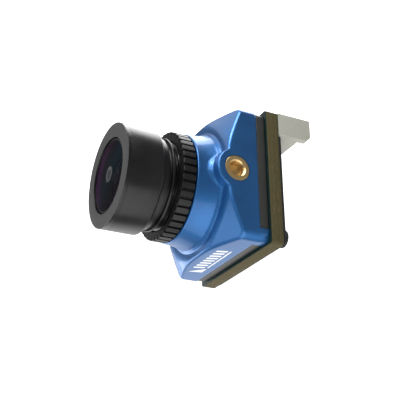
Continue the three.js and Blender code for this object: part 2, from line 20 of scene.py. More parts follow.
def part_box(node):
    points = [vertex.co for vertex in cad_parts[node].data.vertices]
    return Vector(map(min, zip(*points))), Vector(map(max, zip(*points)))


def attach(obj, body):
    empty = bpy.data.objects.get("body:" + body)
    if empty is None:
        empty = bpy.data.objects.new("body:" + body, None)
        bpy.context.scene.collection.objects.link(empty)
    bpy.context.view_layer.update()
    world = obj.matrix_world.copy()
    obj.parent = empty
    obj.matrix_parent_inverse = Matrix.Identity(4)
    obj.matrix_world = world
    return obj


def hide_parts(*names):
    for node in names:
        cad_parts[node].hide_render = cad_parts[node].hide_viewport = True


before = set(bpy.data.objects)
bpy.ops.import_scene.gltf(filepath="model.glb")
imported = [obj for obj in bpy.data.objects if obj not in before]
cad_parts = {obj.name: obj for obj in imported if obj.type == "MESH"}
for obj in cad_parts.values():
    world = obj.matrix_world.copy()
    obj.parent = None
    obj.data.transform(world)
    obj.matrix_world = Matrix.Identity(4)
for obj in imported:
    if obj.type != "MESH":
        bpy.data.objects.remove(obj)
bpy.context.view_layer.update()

MM = 0.001
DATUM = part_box("rear_board")[0].y / MM
NOWHERE = 99.0  # a station behind everything, for a change of finish that isn't wanted
log = logging.getLogger("board_camera")

Pair = tuple[float, float]
Triple = tuple[float, float, float]


class Body(Enum):
    """The rigid bodies that pieces ride on."""

    CAMERA = "camera_body"
    RING = "lock_ring"
    GLASS = "lens_stack"
    BARREL = "lens_barrel"


class Side(Enum):
    """Which side of the camera a piece is on, as the sign of its x."""

    LEFT = -1
    RIGHT = 1


def span(node: str, axis: int) -> tuple[float, float]:
    """Lowest and highest place of a CAD node along an axis.

    Args:
        node: the CAD node's name.
        axis: 0, 1 or 2 for x, y or z.

    Returns:
        The two places in millimetres, with y measured from the rear board's front plane.
    """
    low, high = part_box(node)
    shift = DATUM if axis == 1 else 0.0
    return low[axis] / MM - shift, high[axis] / MM - shift


# ------------------------------------------------------------------ meshes


@dataclass
class Form:
    """Points and faces of a closed surface in millimetres, before they become a mesh."""

    points: np.ndarray
    quads: np.ndarray
    polygons: list = field(default_factory=list)

    def joined(self, other: "Form") -> "Form":
        """Both forms as one.

        Args:
            other: the form to add.

        Returns:
            A new form that holds the points and faces of both.
        """
        step = len(self.points)
        moved = [np.asarray(p) + step for p in other.polygons]
        return Form(
            np.vstack([self.points, other.points]),
            np.vstack([self.quads, other.quads + step]),
            self.polygons + moved,
        )

    def moved(self, x: float = 0.0, y: float = 0.0, z: float = 0.0) -> "Form":
        """The form shifted by the given lengths."""
        return Form(self.points + np.array([x, y, z]), self.quads, self.polygons)

    def swapped(self, order: Sequence[int], signs: Sequence[float] = (1, 1, 1)) -> "Form":
        """The form with its axes taken in another order and then signed.

        Args:
            order: which old axis becomes x, y and z.
            signs: 1 or -1 for the new x, y and z.

        Returns:
            The new form, whose faces may have to be turned out again.
        """
        points = self.points[:, list(order)] * np.array(signs, float)
        return Form(points, self.quads, self.polygons)


def sheet_quads(rows: int, columns: int, wrap_rows: bool) -> np.ndarray:
    """Quads of a grid of points whose columns always close on themselves.

    Args:
        rows: number of rows of points.
        columns: number of points in each row.
        wrap_rows: whether the last row joins the first one.

    Returns:
        An array of quads, each with four point numbers.
    """
    last = rows if wrap_rows else rows - 1
    i, j = np.meshgrid(np.arange(last), np.arange(columns), indexing="ij")
    ahead, right = (i + 1) % rows, (j + 1) % columns
    corners = [i * columns + j, i * columns + right, ahead * columns + right, ahead * columns + j]
    return np.stack(corners, axis=-1).reshape(-1, 4)


def tube_form(grid: np.ndarray) -> Form:
    """A ring-shaped form from a grid that closes both ways.

    Args:
        grid: rows x columns x 3 points; each row runs round the axis.

    Returns:
        The closed form.
    """
    rows, columns = grid.shape[:2]
    return Form(grid.reshape(-1, 3), sheet_quads(rows, columns, True))


def capped_form(grid: np.ndarray) -> Form:
    """A solid form from a grid of rings whose first and last rings are closed by flat faces.

    Args:
        grid: rows x columns x 3 points; each row runs round the solid.

    Returns:
        The closed form.
    """
    rows, columns = grid.shape[:2]
    first = np.arange(columns)[::-1]
    last = np.arange(columns) + (rows - 1) * columns
    return Form(grid.reshape(-1, 3), sheet_quads(rows, columns, False), [first, last])


def pointed_form(grid: np.ndarray) -> Form:
    """A solid form from a grid of rings whose first and last rings shrink to a point.

    Args:
        grid: rows x columns x 3 points; the first and last rows hold one repeated point.

    Returns:
        The closed form, with a fan of triangles at each pole.
    """
    rows, columns = grid.shape[:2]
    middle = grid[1:-1].reshape(-1, 3)
    points = np.vstack([middle, grid[0, :1], grid[-1, :1]])
    quads = sheet_quads(rows - 2, columns, False)
    j = np.arange(columns)
    ahead = (j + 1) % columns
    base = (rows - 3) * columns
    start = np.stack([np.full(columns, len(middle)), ahead, j], axis=1)
    end = np.stack([np.full(columns, len(middle) + 1), base + j, base + ahead], axis=1)
    return Form(points, quads, list(start) + list(end))


def rounded_corners(corners: Sequence[Triple], steps: int = 5) -> np.ndarray:
    """A closed outline whose corners are rounded by circular arcs.

    Args:
        corners: (first, second, radius) of each corner, in order round the outline.
        steps: spans in each arc.

    Returns:
        The outline's points as an n x 2 array.
    """
    spots = np.array([c[:2] for c in corners], float)
    before = np.roll(spots, 1, axis=0) - spots
    after = np.roll(spots, -1, axis=0) - spots
    pieces = []
    for spot, back, ahead, (_, _, radius) in zip(spots, before, after, corners):
        reach_back, reach_ahead = np.linalg.norm(back), np.linalg.norm(ahead)
        back, ahead = back / reach_back, ahead / reach_ahead
        half = math.acos(float(np.clip(back @ ahead, -1, 1))) / 2
        cut = radius / max(math.tan(half), 1e-6)
        cut = min(cut, 0.48 * reach_back, 0.48 * reach_ahead)
        if cut < 1e-5 or abs(half - math.pi / 2) < 1e-3:
            pieces.append(spot[None])
            continue
        true_radius = cut * math.tan(half)
        middle = (back + ahead) / np.linalg.norm(back + ahead)
        centre = spot + middle * true_radius / math.sin(half)
        first, last = spot + back * cut - centre, spot + ahead * cut - centre
        sweep = math.pi - 2 * half
        t = np.linspace(0, 1, steps + 1)[:, None]
        arc = (np.sin((1 - t) * sweep) * first + np.sin(t * sweep) * last) / math.sin(sweep)
        pieces.append(centre + arc)
    return np.vstack(pieces)


def circle_angles(steps: int) -> np.ndarray:
    """Evenly spaced angles round a circle, in radians."""
    return np.arange(steps) * 2 * math.pi / steps


def circle_row(radius: Union[float, np.ndarray], y: float, angles: np.ndarray) -> np.ndarray:
    """A ring of points about the lens axis at station y: (r cos a, y, r sin a) for each angle a."""
    return np.stack([radius * np.cos(angles), np.full_like(angles, y), radius * np.sin(angles)], axis=-1)


def revolved(profile: np.ndarray, angles: np.ndarray) -> np.ndarray:
    """A profile turned about the lens axis.

    The point at radius r and station y goes to (r cos a, y, r sin a) for each angle a.

    Args:
        profile: n x 2 array of radius and y.
        angles: the angles in radians.

    Returns:
        n x m x 3 points.
    """
    r, y = profile[:, :1], profile[:, 1:]
    flat = np.ones_like(angles)[None, :]
    return np.stack([r * np.cos(angles), y * flat, r * np.sin(angles)], axis=-1)


def signed_area(outline: np.ndarray) -> float:
    """Twice the signed area of a closed outline, positive where it runs anticlockwise."""
    ahead = np.roll(outline, -1, axis=0)
    return float(np.sum(outline[:, 0] * ahead[:, 1] - ahead[:, 0] * outline[:, 1]))


def turned(corners: Sequence[Triple], steps: int = 160, arc_steps: int = 5) -> Form:
    """A ring turned from a closed profile that stays clear of the axis.

    Args:
        corners: (radius, y, corner radius) round the profile, either way round.
        steps: columns round the axis.
        arc_steps: spans in each rounded corner.

    Returns:
        The closed form, facing out.
    """
    profile = rounded_corners(corners, arc_steps)
    if signed_area(profile) > 0:
        profile = profile[::-1]
    return tube_form(revolved(profile, circle_angles(steps)))


def extruded(outline: np.ndarray, front: float, rear: float, bevel: float, steps: int = 4) -> Form:
    """An outline in x and z carried along y, with rounded edges at both ends.

    Each ring is the outline moved inwards along its own normals by the depth of a quarter
    circle of the bevel's radius, so the long edges come out evenly rounded.

    Args:
        outline: n x 2 points, anticlockwise as seen from the front (x to the right, z up).
        front: y of the front face.
        rear: y of the rear face.
        bevel: radius of the rounded edges.
        steps: spans in each rounded edge.

    Returns:
        The closed form.
    """
    ahead = np.roll(outline, -1, axis=0) - outline
    back = outline - np.roll(outline, 1, axis=0)
    ahead /= np.maximum(np.linalg.norm(ahead, axis=1, keepdims=True), 1e-9)
    back /= np.maximum(np.linalg.norm(back, axis=1, keepdims=True), 1e-9)
    normal = np.stack([ahead[:, 1] + back[:, 1], -ahead[:, 0] - back[:, 0]], axis=1) / 2
    normal /= np.maximum(np.sum(normal**2, axis=1, keepdims=True), 0.25)
    t = np.linspace(0, math.pi / 2, steps + 1)
    inset = bevel * (1 - np.sin(t))
    depth = bevel * (1 - np.cos(t))
    insets = np.concatenate([inset, inset[::-1]])
    stations = np.concatenate([front + depth, rear - depth[::-1]])
    ring = outline[None] - insets[:, None, None] * normal[None]
    y = np.broadcast_to(stations[:, None], ring.shape[:2])
    return capped_form(np.stack([ring[..., 0], y, ring[..., 1]], axis=-1))


def box_outline(low: Pair, high: Pair, corner: float, steps: int = 4) -> np.ndarray:
    """A rectangle with rounded corners.

    Args:
        low: lowest x and z.
        high: highest x and z.
        corner: radius of its corners.
        steps: spans in each corner.

    Returns:
        n x 2 points, anticlockwise.
    """
    (left, bottom), (right, top) = low, high
    spots = [(left, bottom), (right, bottom), (right, top), (left, top)]
    return rounded_corners([(x, z, corner) for x, z in spots], steps)


def build(name: str, form: Form, crease: float = 32.0) -> bpy.types.Object:
    """Makes a form into an object in metres, in the row frame.

    Args:
        name: the piece's name.
        form: the form in millimetres.
        crease: edges that bend by more than this many degrees stay sharp.

    Returns:
        The new object, smooth shaded, with its faces pointing out.
    """
    mesh = bpy.data.meshes.new(name)
    points = (form.points + np.array([0.0, DATUM, 0.0])) * MM
    faces = [q.tolist() for q in form.quads] + [np.asarray(p).tolist() for p in form.polygons]
    mesh.from_pydata(points.tolist(), [], faces)
    turn_outwards(mesh)
    piece = bpy.data.objects.new(name, mesh)
    bpy.context.scene.collection.objects.link(piece)
    shade(mesh, crease)
    return piece


def turn_outwards(mesh: bpy.types.Mesh) -> None:
    """Makes all the faces of a closed mesh point out.

    Args:
        mesh: the closed mesh.
    """
    loose = bmesh.new()
    loose.from_mesh(mesh)
    bmesh.ops.recalc_face_normals(loose, faces=loose.faces)
    loose.to_mesh(mesh)
    loose.free()


def shade(mesh: bpy.types.Mesh, crease: float) -> None:
    """Shades a mesh smoothly, except across its sharp edges.

    Args:
        mesh: the mesh.
        crease: edges that bend by more than this many degrees stay sharp.
    """
    mesh.polygons.foreach_set("use_smooth", np.ones(len(mesh.polygons), bool))
    mesh.set_sharp_from_angle(angle=math.radians(crease))
    mesh.update()


def carve(piece: bpy.types.Object, cutters: Sequence[bpy.types.Object], crease: float) -> None:
    """Takes cutters out of a piece and removes them.

    Args:
        piece: the piece to cut.
        cutters: closed objects whose inside is taken away.
        crease: the crease angle of the result, in degrees.
    """
    for cutter in cutters:
        modifier = piece.modifiers.new(cutter.name, "BOOLEAN")
        modifier.operation = "DIFFERENCE"
        modifier.solver = "EXACT"
        modifier.object = cutter
    graph = bpy.context.evaluated_depsgraph_get()
    carved = bpy.data.meshes.new_from_object(piece.evaluated_get(graph))
    piece.modifiers.clear()
    piece.data = carved
    shade(carved, crease)
    for cutter in cutters:
        bpy.data.objects.remove(cutter)


def place(
    piece: bpy.types.Object,
    body: Body,
    material: bpy.types.Material,
    slot: str,
    *nodes: str,
) -> bpy.types.Object:
    """Dresses a piece, lets it ride on a body and hides the CAD nodes it stands for.

    Args:
        piece: the piece.
        body: the body it moves with.
        material: its finish.
        slot: the record's material slot; not used.
        nodes: the CAD nodes that it replaces.

    Returns:
        The same piece.
    """
    piece.data.materials.clear()
    piece.data.materials.append(material)
    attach(piece, body.value)
    if nodes:
        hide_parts(*nodes)
    log.info("%s: %d faces, rides on %s", piece.name, len(piece.data.polygons), body.value)
    return piece


def dress(node: str, material: bpy.types.Material) -> None:
    """Gives a carried-over CAD node its finish.

    Args:
        node: the node's name.
        material: the finish.
    """
    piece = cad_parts[node]
    piece.data.materials.clear()
    piece.data.materials.append(material)
    log.info("%s: dressed", node)


# ------------------------------------------------------------------ shader maths

Number = Union[float, "Signal"]


@dataclass(frozen=True)
class Signal:
    """A value in a shader, so that sums on it read as plain expressions."""

    graph: "Graph"
    socket: bpy.types.NodeSocket

    def _math(self, operation: str, *others: Number, swap: bool = False) -> "Signal":
        """Adds a Math node on this signal and the others."""
        values = (*others, self) if swap else (self, *others)
        return self.graph.node("ShaderNodeMath", {"operation": operation}, dict(enumerate(values)))

    def __add__(self, other: Number) -> "Signal":
        """This value plus another."""
        return self._math("ADD", other)

    __radd__ = __add__

    def __sub__(self, other: Number) -> "Signal":
        """This value less another."""
        return self._math("SUBTRACT", other)

    def __rsub__(self, other: Number) -> "Signal":
        """Another value less this one."""
        return self._math("SUBTRACT", other, swap=True)

    def __mul__(self, other: Number) -> "Signal":
        """This value times another."""
        return self._math("MULTIPLY", other)

    __rmul__ = __mul__

    def __truediv__(self, other: Number) -> "Signal":
        """This value divided by another."""
        return self._math("DIVIDE", other)

    def __rtruediv__(self, other: Number) -> "Signal":
        """Another value divided by this one."""
        return self._math("DIVIDE", other, swap=True)

    def above(self, other: Number) -> "Signal":
        """1 where this value is over another, else 0."""
        return self._math("GREATER_THAN", other)

    def size(self) -> "Signal":
        """This value without its sign."""
        return self._math("ABSOLUTE")

    def sine(self) -> "Signal":
        """The sine of this value."""
        return self._math("SINE")

    def root(self) -> "Signal":
        """The square root of this value."""
        return self._math("SQRT")

    def ramp(self, low: float, high: float) -> "Signal":
        """0 at low, 1 at high, a straight line between them and level past them, either way round."""
        inputs = {"Value": self, "From Min": low, "From Max": high, "To Min": 0.0, "To Max": 1.0}
        return self.graph.node("ShaderNodeMapRange", {"clamp": True}, inputs)


class Graph:
    """A material's nodes, added by one method and joined by values and signals."""

    def __init__(self, name: str) -> None:
        """Starts an empty material.

        Args:
            name: its name.
        """
        self.material = bpy.data.materials.new(name)
        self.material.use_nodes = True
        self.tree = self.material.node_tree
        self.tree.nodes.clear()

    def add(self, kind: str, settings: dict, inputs: dict) -> bpy.types.Node:
        """Adds a node.

        Args:
            kind: the node's type.
            settings: its own settings, which are set first.
            inputs: a value or a signal for each input, by name or number.

        Returns:
            The new node.
        """
        node = self.tree.nodes.new(kind)
        for key, value in settings.items():
            setattr(node, key, value)
        for key, value in inputs.items():
            if isinstance(value, Signal):
                self.tree.links.new(value.socket, node.inputs[key])
            else:
                node.inputs[key].default_value = value
        return node

    def node(self, kind: str, settings: dict, inputs: dict, output: Union[int, str] = 0) -> Signal:
        """Adds a node, as add does, and gives the wanted output of it as a signal."""
        return Signal(self, self.add(kind, settings, inputs).outputs[output])

    def coordinates(self) -> Signal:
        """The object's own coordinates, in metres."""
        return self.node("ShaderNodeTexCoord", {}, {}, "Object")

    def axes(self) -> tuple[Signal, Signal, Signal]:
        """Takes the object's own coordinates apart.

        Returns:
            Its x, y and z in millimetres, with y from the rear board.
        """
        point = self.coordinates()
        parts = [self.node("ShaderNodeSeparateXYZ", {}, {0: point}, k) / MM for k in range(3)]
        return parts[0], parts[1] - DATUM, parts[2]

    def noise(self, scale: float, detail: float = 2.0, stretch: Sequence[float] = (1, 1, 1)) -> Signal:
        """Noise in space.

        Args:
            scale: how many cells there are to a millimetre.
            detail: how many finer layers there are.
            stretch: how much finer the cells are along each axis.

        Returns:
            A signal from 0 to 1.
        """
        point = self.node("ShaderNodeMapping", {}, {0: self.coordinates(), "Scale": stretch})
        inputs = {"Vector": point, "Scale": scale / MM, "Detail": detail}
        return self.node("ShaderNodeTexNoise", {}, inputs)

    def cells(self, scale: float) -> Signal:
        """One random value for each small cell in space.

        Args:
            scale: how many cells there are to a millimetre.

        Returns:
            A signal from 0 to 1.
        """
        inputs = {"Vector": self.coordinates(), "Scale": scale / MM}
        colour = self.node("ShaderNodeTexVoronoi", {}, inputs, "Color")
        return self.node("ShaderNodeSeparateColor", {}, {0: colour}, 0)

    def mix(self, share: Number, first: Sequence[float], second: Sequence[float]) -> Signal:
        """A colour between two.

        Args:
            share: 0 for the first colour, 1 for the second.
            first: a colour or a colour signal.
            second: a colour or a colour signal.

        Returns:
            The mixed colour.
        """
        tints = [c if isinstance(c, Signal) else (*c, 1.0) for c in (first, second)]
        settings = {"data_type": "RGBA", "clamp_factor": True}
        return self.node("ShaderNodeMix", settings, {0: share, 6: tints[0], 7: tints[1]}, 2)

    def bump(self, height: Signal, depth: float) -> Signal:
        """A normal bent by a height signal.

        Args:
            height: the height, about 0 to 1.
            depth: what 1 stands for, in millimetres.

        Returns:
            The bent normal.
        """
        return self.node("ShaderNodeBump", {}, {"Strength": 1.0, "Distance": depth * MM, "Height": height})

    def surface(self, **inputs: Union[Number, Sequence[float]]) -> bpy.types.Material:
        """Ends the material in a Principled shader.

        Args:
            inputs: the shader's inputs, with _ for the spaces in their names.

        Returns:
            The finished material.
        """
        named = {}
        for key, value in inputs.items():
            is_colour = key in ("Base_Color", "Emission_Color") and isinstance(value, tuple)
            named[key.replace("_", " ")] = (*value, 1.0) if is_colour else value
        shader = self.node("ShaderNodeBsdfPrincipled", {}, named)
        self.add("ShaderNodeOutputMaterial", {}, {"Surface": shader})
        return self.material


# ------------------------------------------------------------------ finishes


def grey(level: float) -> Triple:
    """A neutral colour of that level."""
    return level, level, level


@dataclass(frozen=True)
class Lacquer:
    """Blue metallic lacquer: fine flakes under a clear coat, its tone drifting at random between two blues.
    """

    name: str = "blue_lacquer"
    deep: Triple = (0.011, 0.082, 0.265)
    bright: Triple = (0.03, 0.182, 0.46)
    flakes: float = 16.0

    def material(self) -> bpy.types.Material:
        """Mixes the finish.

        Returns:
            The finish as a material.
        """
        g = Graph(self.name)
        flake = g.cells(self.flakes)
        cloud = g.noise(0.35, 3.0)
        colour = g.mix(flake * 0.22 + cloud * 0.6, self.deep, self.bright)
        peel = g.noise(1.1, 1.0)
        return g.surface(
            Base_Color=colour,
            Metallic=0.72,
            Roughness=0.36 + flake * 0.1 + cloud * 0.06,
            Normal=g.bump(peel, 0.004),
            Coat_Weight=0.35,
            Coat_Roughness=0.12,
        )


@dataclass(frozen=True)
class Anodised:
    """Anodised aluminium with fine turning lines round the lens axis."""

    name: str
    colour: Triple = (0.006, 0.006, 0.0062)
    worn: Triple = grey(0.032)
    # Painted shade: a nearly black colour for the faces behind a given station.
    painted_shade: Triple = grey(0.009)
    roughness: float = 0.26
    lines: float = 22.0
    depth: float = 0.0018
    painted_shade_from: float = NOWHERE

    def material(self) -> bpy.types.Material:
        """Mixes the finish; behind a given station it is painted nearly black as painted shade, and
        glossier.

        Returns:
            The finish as a material.
        """
        g = Graph(self.name)
        x, y, z = g.axes()
        # Painted shade: behind this station the face is painted nearly black.
        behind = (y - self.painted_shade_from).above(0.0)
        radius = (x * x + z * z).root()
        path = radius + y
        turning = (path * self.lines * 2).sine() * 0.5 + 0.5
        cloud = g.noise(0.35, 3.0)
        dust = g.cells(14.0).above(0.992)
        face = g.mix(cloud.ramp(0.35, 0.8) * 0.35 + dust * 0.2, self.colour, self.worn)
        return g.surface(
            Base_Color=g.mix(behind, face, self.painted_shade),
            Metallic=0.3,
            Roughness=self.roughness + cloud * 0.04 + turning * 0.04 - behind * 0.2,
            Normal=g.bump(turning, self.depth),
        )


@dataclass(frozen=True)
class Brass:
    """Turned brass of a threaded insert, a little tarnished."""

    name: str = "turned_brass"
    clean: Triple = (0.7, 0.5, 0.24)
    tarnish: Triple = (0.42, 0.3, 0.13)

    def material(self) -> bpy.types.Material:
        """Mixes the finish.

        Returns:
            The finish as a material.
        """
        g = Graph(self.name)
        _, y, z = g.axes()
        middle = sum(span("side_insert_left", 1)) / 2
        off = y - middle
        radius = (off * off + z * z).root()
        turning = (radius * 95.0).sine() * 0.5 + 0.5
        stain = g.noise(2.4, 4.0).ramp(0.4, 0.75)
        return g.surface(
            Base_Color=g.mix(stain * 0.5, self.clean, self.tarnish),
            Metallic=1.0,
            Roughness=0.27 + stain * 0.14 + turning * 0.05,
            Normal=g.bump(turning, 0.003),
        )


@dataclass(frozen=True)
class Moulded:
    """Moulded plastic or rubber: a fine grain, flow clouds and a few dust specks."""

    name: str
    colour: Triple
    second: Triple
    roughness: float = 0.5
    grain: float = 14.0
    depth: float = 0.004
    glow: float = 0.0

    def material(self) -> bpy.types.Material:
        """Mixes the finish.

        Returns:
            The finish as a material.
        """
        g = Graph(self.name)
        grain = g.noise(self.grain, 2.0)
        cloud = g.noise(0.5, 3.0).ramp(0.3, 0.75)
        speck = g.cells(self.grain * 0.6).above(0.985)
        return g.surface(
            Base_Color=g.mix(cloud * 0.6 + speck * 0.4, self.colour, self.second),
            Roughness=self.roughness + grain * 0.14 - 0.05,
            Normal=g.bump(grain + cloud * 0.3, self.depth),
            Subsurface_Weight=self.glow,
            Subsurface_Radius=(0.0006, 0.0005, 0.0004),
        )


@dataclass(frozen=True)
class Laminate:
    """Cut edge of a circuit board: glass-resin layers between two dark masked faces."""

    name: str
    front: float
    rear: float
    resin: Triple = (0.072, 0.06, 0.027)
    pale: Triple = (0.125, 0.108, 0.056)
    mask: Triple = (0.006, 0.02, 0.02)
    copper: Triple = (0.32, 0.16, 0.06)

    def material(self) -> bpy.types.Material:
        """Mixes the finish.

        Returns:
            The finish as a material.
        """
        g = Graph(self.name)
        x, y, z = g.axes()
        depth = (y - self.front) / (self.rear - self.front)
        wobble = g.noise(0.8, 3.0, (1, 0.2, 1)) - 0.5
        layers = ((depth + wobble * 0.05) * 6 * math.pi).sine() * 0.5 + 0.5
        fibres = g.noise(3.2, 3.0, (1, 5, 1))
        body = g.mix(fibres.ramp(0.35, 0.8) * 0.75 + layers * 0.15, self.resin, self.pale)
        # Cut copper shows as short dashes at one third and two thirds of the thickness.
        third = 1 - ((depth - 0.5).size() - 0.17).size().ramp(0.006, 0.016)
        dashes = g.noise(0.6, 1.0, (1, 0.05, 1)).ramp(0.6, 0.63)
        wired = g.mix(third * dashes * 0.8, body, self.copper)
        skin = (depth - 0.5).size().ramp(0.452, 0.468)
        colour = g.mix(skin, wired, self.mask)
        tracks = g.noise(0.9, 0.0).ramp(0.49, 0.51)
        return g.surface(
            Base_Color=colour,
            Roughness=0.66 - skin * 0.3,
            Specular_IOR_Level=0.1,
            Normal=g.bump(fibres * (1 - skin) + tracks * skin * 0.8, 0.01),
        )


@dataclass(frozen=True)
class Plated:
    """Tinned or blackened metal with fine handling scratches."""

    name: str
    colour: Triple
    worn: Triple
    roughness: float = 0.3

    def material(self) -> bpy.types.Material:
        """Mixes the finish.

        Returns:
            The finish as a material.
        """
        g = Graph(self.name)
        scratch = g.noise(6.0, 2.0, (1, 0.15, 1)).ramp(0.62, 0.72)
        cloud = g.noise(1.5, 3.0)
        return g.surface(
            Base_Color=g.mix(cloud * 0.5 + scratch * 0.4, self.colour, self.worn),
            Metallic=1.0,
            Roughness=self.roughness + cloud * 0.18,
            Normal=g.bump(scratch, 0.003),
        )


@dataclass(frozen=True)
class CoatedGlass:
    """Lens glass: nearly clear, with painted reflections in its coat's colours drifting across it.

    The painted coat reflection goes from one colour to the other across the glass, along a direction
    in x and z and less so where it is seen flat on. The edge is painted black from blacked outwards.
    Behind the station faint_from the coat is fainter still. The small pale spot and ring are a
    painted reflection of the stop in the glasses behind, lighter towards -z.
    """

    name: str
    # The next two colours are painted reflections of the coat, one for each side of the glass.
    warm_reflection: Triple
    cool_reflection: Triple
    alpha: float = 0.5
    blacked: float = 4.72
    # Strength and sideways place of the painted reflection of the stop.
    stop_reflection: float = 0.0
    stop_reflection_aside: float = 0.35
    faint_from: float = NOWHERE
    refraction: float = 1.5
    reach: float = 3.6

    def material(self) -> bpy.types.Material:
        """Mixes the finish.

        Returns:
            The finish as a material.
        """
        g = Graph(self.name)
        x, y, z = g.axes()
        radius = (x * x + z * z).root()
        edge = radius.ramp(self.blacked, self.blacked + 0.06)
        behind = (y - self.faint_from).above(0.0)
        # Painted reflection: the coat's two reflection colours are painted on by place across the glass,
        # shifting a little as it is seen more slanting.
        slant = g.node("ShaderNodeLayerWeight", {}, {"Blend": 0.4}, "Facing")
        smear = g.noise(0.5, 2.0)
        across = x * 0.8 - z * 0.35 + (smear - 0.5) * 1.6
        warm_reflection_share = across.ramp(0.0, self.reach) * 0.85 + slant * 0.15
        cool_reflection_share = (z * 0.9 - across * 0.8).size().ramp(self.reach * 1.2, 0.4)
        lean = g.mix(cool_reflection_share * (1 - warm_reflection_share), (0.002, 0.002, 0.005), self.cool_reflection)
        reflection_tint = g.mix(warm_reflection_share * (radius / self.blacked), lean, self.warm_reflection)
        # Painted reflection: a pale spot and ring of the stop, lighter towards -z, mixed over the painted
        # coat reflection.
        aside = x + self.stop_reflection_aside
        spot_radius = (aside * aside + z * z).root()
        ring = 1 - (spot_radius - 0.85).size().ramp(0.05, 0.28)
        spot = spot_radius.ramp(1.15, 0.9) * 0.35 + ring * (z.ramp(1.6, -1.2) * 0.6 + 0.15)
        seen = g.mix(spot * self.stop_reflection, reflection_tint, (0.62, 0.6, 0.62))
        share = edge * (1 - self.alpha) + self.alpha
        return g.surface(
            Base_Color=g.mix(edge, seen, grey(0.001)),
            Roughness=0.03 + smear * 0.03 + edge * 0.5,
            Alpha=share * (1 - behind * (1 - edge) * 0.9),
            IOR=self.refraction,
        )


@dataclass(frozen=True)
class Ink:
    """Printed white ink, slightly uneven."""

    name: str = "white_ink"

    def material(self) -> bpy.types.Material:
        """Mixes the finish.

        Returns:
            The finish as a material.
        """
        g = Graph(self.name)
        patch = g.noise(3.0, 3.0)
        return g.surface(
            Base_Color=g.mix(patch, (0.78, 0.8, 0.84), (0.9, 0.9, 0.92)),
            Roughness=0.42 + patch * 0.15,
            Normal=g.bump(patch, 0.004),
        )


@dataclass(frozen=True)
class Finishes:
    """Every finish of the camera, made once."""

    lacquer: bpy.types.Material
    anodised: bpy.types.Material
    bezel: bpy.types.Material
    ring: bpy.types.Material
    brass: bpy.types.Material
    rubber: bpy.types.Material
    header: bpy.types.Material
    film: bpy.types.Material
    chip: bpy.types.Material
    board: bpy.types.Material
    sensor_board: bpy.types.Material
    tin: bpy.types.Material
    screw: bpy.types.Material
    front_glass: bpy.types.Material
    inner_glass: bpy.types.Material
    filter_glass: bpy.types.Material
    ink: bpy.types.Material

    @classmethod
    def make(cls) -> "Finishes":
        """Builds all the materials.

        Returns:
            The materials by name.
        """
        board_front, board_rear = span("rear_board", 1)
        sensor_front, sensor_rear = span("sensor_board", 1)
        bezel = Anodised(
            "bezel_anodised",
            colour=grey(0.062),
            worn=grey(0.085),
            roughness=0.46,
            depth=0.0025,
            # Painted shade: the bezel's bore wall and edges behind its face are painted nearly black.
            painted_shade_from=span("front_bezel", 1)[0] + 0.025,
        )
        ring = Anodised("ring_anodised", colour=grey(0.007), worn=(0.034, 0.033, 0.031), roughness=0.42)
        rubber = Moulded("black_rubber", (0.031, 0.032, 0.03), (0.044, 0.045, 0.042), roughness=0.4)
        header = Moulded(
            "header_nylon",
            colour=(0.46, 0.46, 0.4),
            second=(0.51, 0.5, 0.44),
            roughness=0.42,
            grain=10.0,
            depth=0.003,
            glow=0.5,
        )
        # Each glass's two colours are painted coat reflections; the front glass also has a painted
        # reflection of the stop.
        front_glass = CoatedGlass(
            "front_glass",
            warm_reflection=(0.14, 0.02, 0.17),
            cool_reflection=(0.001, 0.05, 0.065),
            alpha=0.2,
            blacked=4.66,
            stop_reflection=1.0,
            faint_from=span("front_element", 1)[0] + 0.5,
            refraction=1.35,
        )
        inner_glass = CoatedGlass(
            "inner_glass",
            warm_reflection=(0.012, 0.004, 0.02),
            cool_reflection=(0.001, 0.01, 0.014),
            alpha=0.3,
            blacked=3.7,
            refraction=1.15,
        )
        filter_glass = CoatedGlass("filter_glass", (0.3, 0.1, 0.2), (0.1, 0.3, 0.32), blacked=9.0)
        return cls(
            lacquer=Lacquer().material(),
            anodised=Anodised("black_anodised").material(),
            bezel=bezel.material(),
            ring=ring.material(),
            brass=Brass().material(),
            rubber=rubber.material(),
            header=header.material(),
            film=Moulded("black_film", (0.012, 0.014, 0.014), (0.02, 0.022, 0.022), 0.62).material(),
            chip=Moulded("chip_resin", (0.015, 0.015, 0.016), (0.03, 0.03, 0.032)).material(),
            board=Laminate("rear_laminate", board_front, board_rear).material(),
            sensor_board=Laminate("sensor_laminate", sensor_front, sensor_rear).material(),
            tin=Plated("tinned_brass", (0.6, 0.57, 0.47), (0.72, 0.7, 0.62)).material(),
            screw=Plated("black_steel", (0.03, 0.03, 0.031), grey(0.09), 0.36).material(),
            front_glass=front_glass.material(),
            inner_glass=inner_glass.material(),
            filter_glass=filter_glass.material(),
            ink=Ink().material(),
        )


# ------------------------------------------------------------------ housing


def smooth_step(value: np.ndarray, low: float, high: float) -> np.ndarray:
    """0 below low, 1 above high, and a smooth S curve between them."""
    t = np.clip((value - low) / (high - low), 0, 1)
    return t * t * (3 - 2 * t)


def corner_share(x: np.ndarray, z: np.ndarray) -> np.ndarray:
    """1 on the square's diagonals and 0 on its axes, smoothly between them."""
    angle = np.arctan2(z, x)
    return np.sin(2 * angle) ** 2


def blended_min(a: np.ndarray, b: np.ndarray, width: float) -> np.ndarray:
    """The smaller of two fields, with the crease between them filled by a parabola that wide."""
    overlap = np.maximum(width - np.abs(a - b), 0) / width
    return np.minimum(a, b) - overlap**2 * width / 4


def blended_max(a: np.ndarray, b: np.ndarray, width: float) -> np.ndarray:
    """The larger of two fields, with the edge between them rounded by a parabola that wide."""
    return -blended_min(-a, -b, width)


